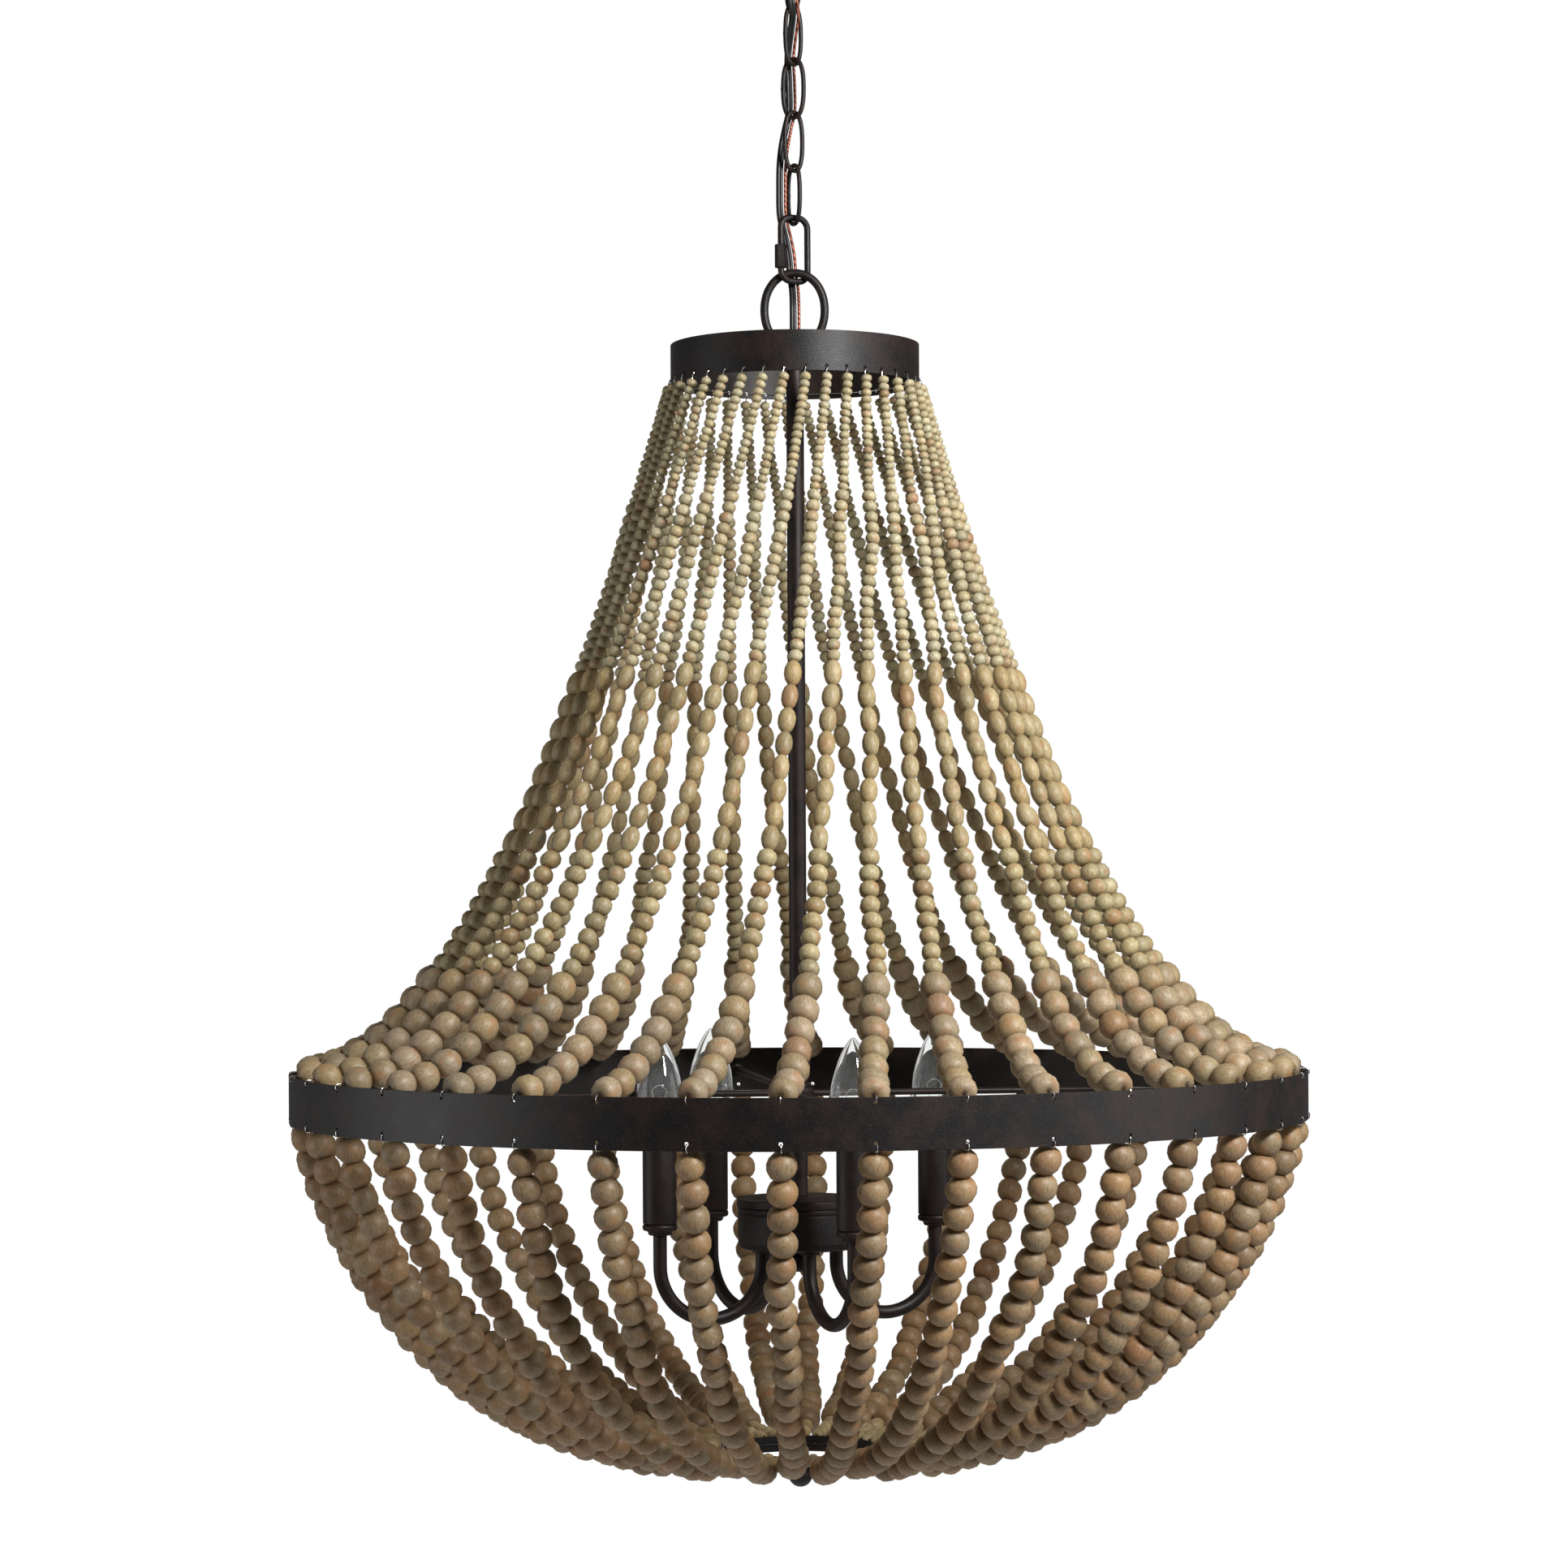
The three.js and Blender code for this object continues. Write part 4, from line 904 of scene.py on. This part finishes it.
# Where the middle of each bead lies, and which way its bore points. Strands sway a little, by sines of a few
# wavelengths that die out at both ends, and near the bottom ring they lie over and under their neighbours
# by turns.
def beadPlaces(tier, strands):
    s = strandShape[tier]
    line = strandLine(s)
    along = np.concatenate([[0], np.cumsum(np.linalg.norm(np.diff(line, axis=0), axis=1))])
    lengths = np.concatenate([np.full(kind[0], kind[2]) for kind in s["kinds"]])
    joints = np.concatenate([[0], np.cumsum(lengths * (along[-1] / lengths.sum()))])
    knots = np.stack([np.interp(joints, along, line[:, i]) for i in range(3)], axis=-1)
    knots = turnAbout(knots, strandTurns(90, strands))
    share = joints / along[-1]
    upward, sideways = pathSides(knots, np.array([0, 0, 1.0]))
    count = len(strands)
    sway = 0
    for size, turns in s["sway"]:
        swing, start = randomBeads.normal(0, size, (count, 1)), randomBeads.uniform(0, 2, (count, 1))
        sway = sway + swing * np.sin(np.pi * (turns * share + start))
    held = np.minimum(1, 6 * share * (1 - share))
    knots = knots + sideways * (sway * held)[..., None]
    if tier == "lower":
        crowd = beadLook["crowd"]
        over = np.where(np.asarray(strands) % 2, 1, -1)[:, None]
        lift = crowd["height"] * np.exp(-(((share - crowd["place"]) / crowd["reach"]) ** 2)) * over
        knots = knots - upward * lift[..., None]
    middles = (knots[:, 1:] + knots[:, :-1]) / 2
    axes = knots[:, 1:] - knots[:, :-1]
    halfLengths = np.linalg.norm(axes, axis=2) / 2
    return middles, axes / (2 * halfLengths[..., None]), halfLengths


# Stain of each bead: a tone of its kind's palette, made brighter or darker and warmer or cooler, a few half
# rust
def beadColours(tones, beads):
    palette = np.array([linearColour(tone)[:3] for tone in tones])
    pick = palette[randomBeads.integers(0, len(palette), beads)]
    bright = np.exp(randomBeads.normal(0, beadLook["brightSpread"], (beads, 1)))
    warm = 1 + randomBeads.normal(0, beadLook["warmSpread"], (beads, 1)) * np.array([beadLook["warmTint"]])
    isRust = randomBeads.uniform(0, 1, (beads, 1)) < beadLook["rustShare"]
    tone = pick * bright * warm
    tone = np.where(isRust, 0.5 * tone + 0.5 * np.array(linearColour(beadLook["rust"])[:3]), tone)
    return np.concatenate([tone, np.ones((beads, 1))], axis=1)


# A group's beads in one mesh. Each point is the bead's middle, plus its ring's radius across the bore,
# leaning a little, plus its ring's share of the half length along the bore. Attributes give the wood its
# tone, its place in the grain and the painted shade of the bore.
def makeBeads(name, tier, strands, node):
    middles, axes, halfLengths = beadPlaces(tier, strands)
    fields = {"beadTone": [], "beadGrain": [], "boreShade": []}
    points, quads, ends, offset, first = [], [], [], 0, 0
    for count, size, length, roundLength, tones, columns, rings in strandShape[tier]["kinds"]:
        radius, along = beadRings(size, length, roundLength, rings)
        rows = len(radius)
        here = slice(first, first + count)
        first += count
        middle, axis = middles[:, here].reshape(-1, 3), axes[:, here].reshape(-1, 3)
        half = halfLengths[:, here].reshape(-1)
        beads = len(middle)
        side = np.cross(axis, [0.31, 0.77, 0.55])  # square to the bore, from a direction that no bore has
        side /= np.linalg.norm(side, axis=1, keepdims=True)
        third = np.cross(axis, side)
        around = np.linspace(0, fullTurn, columns, endpoint=False)
        spin = randomBeads.uniform(0, fullTurn, (beads, 1)) + around
        cos, sin = np.cos(spin), np.sin(spin)
        thick = size * (1 + randomBeads.normal(0, beadLook["thicknessSpread"], (beads, 1, 1, 1)))
        tilt = randomBeads.normal(0, beadLook["tiltSpread"], (beads, 1, 2))
        ring = side[:, None] * cos[..., None] + third[:, None] * sin[..., None]
        lean = axis[:, None] * (cos * tilt[..., 0] + sin * tilt[..., 1])[..., None]
        spread = (ring + lean)[:, None] * radius[:, None, None] * thick
        rise = along[:, None] * half[:, None, None]
        points.append((middle[:, None, None] + spread + axis[:, None, None] * rise[..., None]).reshape(-1, 3))
        # The wood's own place: across the bead and along its bore, moved on by a random step for each bead
        across = radius[:, None] * size
        local = np.stack([cos[:, None] * across, sin[:, None] * across, rise + 0 * spin[:, None]], axis=-1)
        shift = beadLook["grainShift"]
        fields["beadGrain"].append(local + randomBeads.uniform(-shift, shift, (beads, 1, 1, 3)))
        colour = beadColours(beadLook["tones"][tones], beads)
        fields["beadTone"].append(np.broadcast_to(colour[:, None], (beads, rows * columns, 4)))
        # Painted shade: full at the bore's own rings, faceShade at the rings where beads meet and shade each
        # other
        shade = np.zeros((beads, rows, columns))
        shade[:, [0, -1]] = 1
        shade[:, [1, -2]] = beadLook["faceShade"]
        fields["boreShade"].append(shade)
        quads.append(copiedFaces(gridFaces(rows, columns), beads, rows * columns, offset))
        ends.append(copiedFaces(endFaces(rows, columns), beads, rows * columns, offset))
        offset += beads * rows * columns
    piece = meshPiece(name, np.concatenate(points), [np.concatenate(quads), *ends], 60)
    fieldKinds = [
        ("beadTone", "FLOAT_COLOR", "color"),
        ("beadGrain", "FLOAT_VECTOR", "vector"),
        ("boreShade", "FLOAT", "value"),
    ]
    for field, kind, key in fieldKinds:
        values = np.concatenate([part.ravel() for part in fields[field]]).astype(np.float32)
        piece.data.attributes.new(field, kind, "POINT").data.foreach_set(key, values)
    finishPiece(piece, "wood", "light", node)


# Each tier's strands are shared out to four groups
strandGroups = 4
groupEdges = [math.floor(group * strandCount / strandGroups + 0.5) for group in range(strandGroups + 1)]
for tierName in ("upper", "lower"):
    for group, (firstStrand, endStrand) in enumerate(zip(groupEdges, groupEdges[1:]), 1):
        members = np.arange(firstStrand, endStrand)
        makeBeads(f"{tierName}Beads_{group}", tierName, members, f"{tierName}_strands_{group}")
print("beads threaded")


# Wire hooks: one short wire at each end of a strand, bent through the band's hole. Each has the angle of its
# first hole and a line in radius, millimetres across and height, which is then turned to every hole.
hooks = {
    "topBandHooks": (4.9, [
        [75.2, 0.3, -321.6], [77.2, 0.1, -322.0], [78.6, 0, -322.3], [79.2, -0.2, -323.2],
        [79.4, -0.7, -324.8], [79.5, -0.7, -326.4], [79.8, -0.2, -329],
    ]),
    "hoopTopHooks": (-1.8, [
        [303, 0, -752.6], [308.5, 0, -752.9], [312.5, 0, -753.0], [315.4, 0.1, -753.1], [317.3, 0.2, -753.4],
        [317.95, 0.2, -754.5], [317.95, 0.1, -755.9], [317.0, 0, -756.6], [315.4, 0, -757.0],
        [314, 0, -756.6],
    ]),
    "hoopLowHooks": (-1.8, [
        [313.8, -0.3, -779.9], [315.2, -0.2, -779.8], [317, 0, -780.1], [317.95, 0.1, -781.0],
        [317.95, 0.2, -783.2], [316.8, 0.3, -784.5], [314.4, 0.2, -784.7], [311.6, 0.1, -784.9],
        [310, 0, -787.6],
    ]),
    "bottomBandHooks": (-1.8, [
        [57, 0, -991.2], [53.5, 0, -991.5], [51.2, 0, -992.1], [49.4, 0, -993.8], [48.4, 0, -995.0],
        [47.2, 0, -995.2],
    ]),
}
wires = {
    "hookRadius": 0.38,
    "hookSpread": 0.25,  # how far a hook's outer end strays sideways
    "innerSpread": 0.4,  # of that, at its other end
    "laceRadius": 0.35,
    "laces": [("topLace", 75.4, -321.7, "wire"), ("ringLace", 45.4, -995.2, "bronze")],
}


def makeHooks(name, firstAngle, route):
    line = splineThrough(route, 3)
    turns = strandTurns(firstAngle)
    stray = randomBeads.normal(0, wires["hookSpread"], (strandCount, 1))
    stray = stray * np.linspace(1, wires["innerSpread"], len(line))
    lines = turnAbout(line + stray[..., None] * [0, 1, 0], turns)
    piece = sweptPiece(name, lines, circle(wires["hookRadius"], 8), turnAbout([[0, 1, 0]], turns))
    finishPiece(piece, "wire", "light")


for hookName, (hookAngle, hookRoute) in hooks.items():
    makeHooks(hookName, hookAngle, hookRoute)
# The wire that runs on from strand to strand behind a band's holes
for laceName, laceReach, laceHeight, laceFinish in wires["laces"]:
    laceLine = np.concatenate([circle(laceReach, 152), np.full((152, 1), laceHeight)], axis=1)
    lace = sweptPiece(laceName, laceLine, circle(wires["laceRadius"], 8), (0, 0, 1), closed=True)
    finishPiece(lace, laceFinish, "light")
print("hooks bent")


# Ball under the bottom ring: a sphere with its stud through the strap and a nut on top
ballFinial = {
    "radius": 7.5,
    "centre": -1008.3,
    "neckAngle": 66,
    "stud": [
        [3, -1000.5], [2, -1000.5], [2, -997.4], [3.6, -997.4], [3.6, -995.0], [2, -995.0], [2, -991.7],
        [0, -991.7],
    ],
}


def makeBall(c):
    angle = np.radians(np.linspace(-90, c["neckAngle"], 27))
    sphere = c["radius"] * np.stack([np.cos(angle), np.sin(angle)], axis=-1) + [0, c["centre"]]
    sphere[0, 0] = 0
    finishPiece(turnedPiece("ballDrop", [*sphere, *c["stud"]]), "bronze", "light", "ball_finial")


makeBall(ballFinial)
print("ball made")


# A pale floor disc under the light, soft lamps in front and one behind, which shows in no reflection; metres
studio = {
    "floorHeight": -1.9,
    "floorRadius": 1.6,
    "floorGlow": 0.42,
    "worldLevel": 0.03,
    "glossLevel": 0.11,
    "lamps": [  # name, place, size, watts, shown in reflections
        ("keyLamp", (0.85, -1.15, 0.15), 0.45, 33, True),
        ("sideLamp", (1.7, -0.45, -0.55), 1.1, 8, True),
        ("fillLamp", (-1.6, -0.35, -0.8), 1.2, 7.5, True),
        ("backLamp", (-0.9, 1.7, -0.2), 1.0, 26, False),
    ],
    "aim": (0, 0, -0.65),
}


def makeFloor(c):
    rim = np.concatenate([circle(c["floorRadius"], 96), np.full((96, 1), c["floorHeight"])], axis=1)
    floor = meshPiece("studioFloor", rim / mm, [np.arange(96)[None]], None)
    material, add = newMaterial("paleFloor")
    place = add("TexCoord").outputs["Object"]
    speck = add("TexNoise", {"Vector": place, "Scale": 30, "Detail": 2})
    pale = add("ValToRGB", {"Fac": speck}, stops=[(0.3, "#eeeeed"), (0.7, "#f3f3f2")])
    # The camera sees the floor paler than it is lit, and its shadow stays
    rays = add("LightPath").outputs
    glow = add("Math", {0: rays["Is Camera Ray"], 1: c["floorGlow"]}, {"operation": "MULTIPLY"})
    look = {"Base Color": pale, "Roughness": 0.7, "Emission Color": "#ffffff", "Emission Strength": glow}
    floor.data.materials.append(withSurface(material, look))


# Each lamp is a soft disc, turned so that it faces the aim
def makeLamps(c):
    for name, place, size, watts, inGloss in c["lamps"]:
        data = bpy.data.lights.new(name, "AREA")
        data.shape = "DISK"
        data.size = size
        data.energy = watts
        lamp = placeObject(name, data)
        lamp.location = place
        lamp.visible_camera = False
        lamp.visible_transmission = False
        lamp.visible_glossy = inGloss
        aim = np.array(c["aim"]) - np.array(place)
        lamp.rotation_euler = (math.atan2(math.hypot(*aim[:2]), -aim[2]), 0, math.atan2(-aim[0], aim[1]))


# The world lights at a plain level; the camera and glass see it white, and gloss sees it dimmer, as a white
# backdrop in a darker room
def makeWorld(c):
    world = bpy.data.worlds.new("softRoom")
    bpy.context.scene.world = world
    add = newTree(world)
    rays = add("LightPath").outputs
    seenWhite = {0: rays["Is Camera Ray"], 1: rays["Is Transmission Ray"]}
    through = add("Math", seenWhite, {"operation": "MAXIMUM"})
    gloss = add("Math", {0: rays["Is Glossy Ray"], 1: c["glossLevel"]}, {"operation": "MULTIPLY"})
    seen = add("Math", {0: through, 1: gloss}, {"operation": "MAXIMUM"})
    strength = add("MapRange", {"Value": seen, "To Min": c["worldLevel"], "To Max": 1})
    back = add("Background", {"Color": "#ffffff", "Strength": strength})
    add("OutputWorld", {"Surface": back})


makeFloor(studio)
makeLamps(studio)
makeWorld(studio)
bpy.context.scene.view_settings.view_transform = "Standard"
print("studio set")
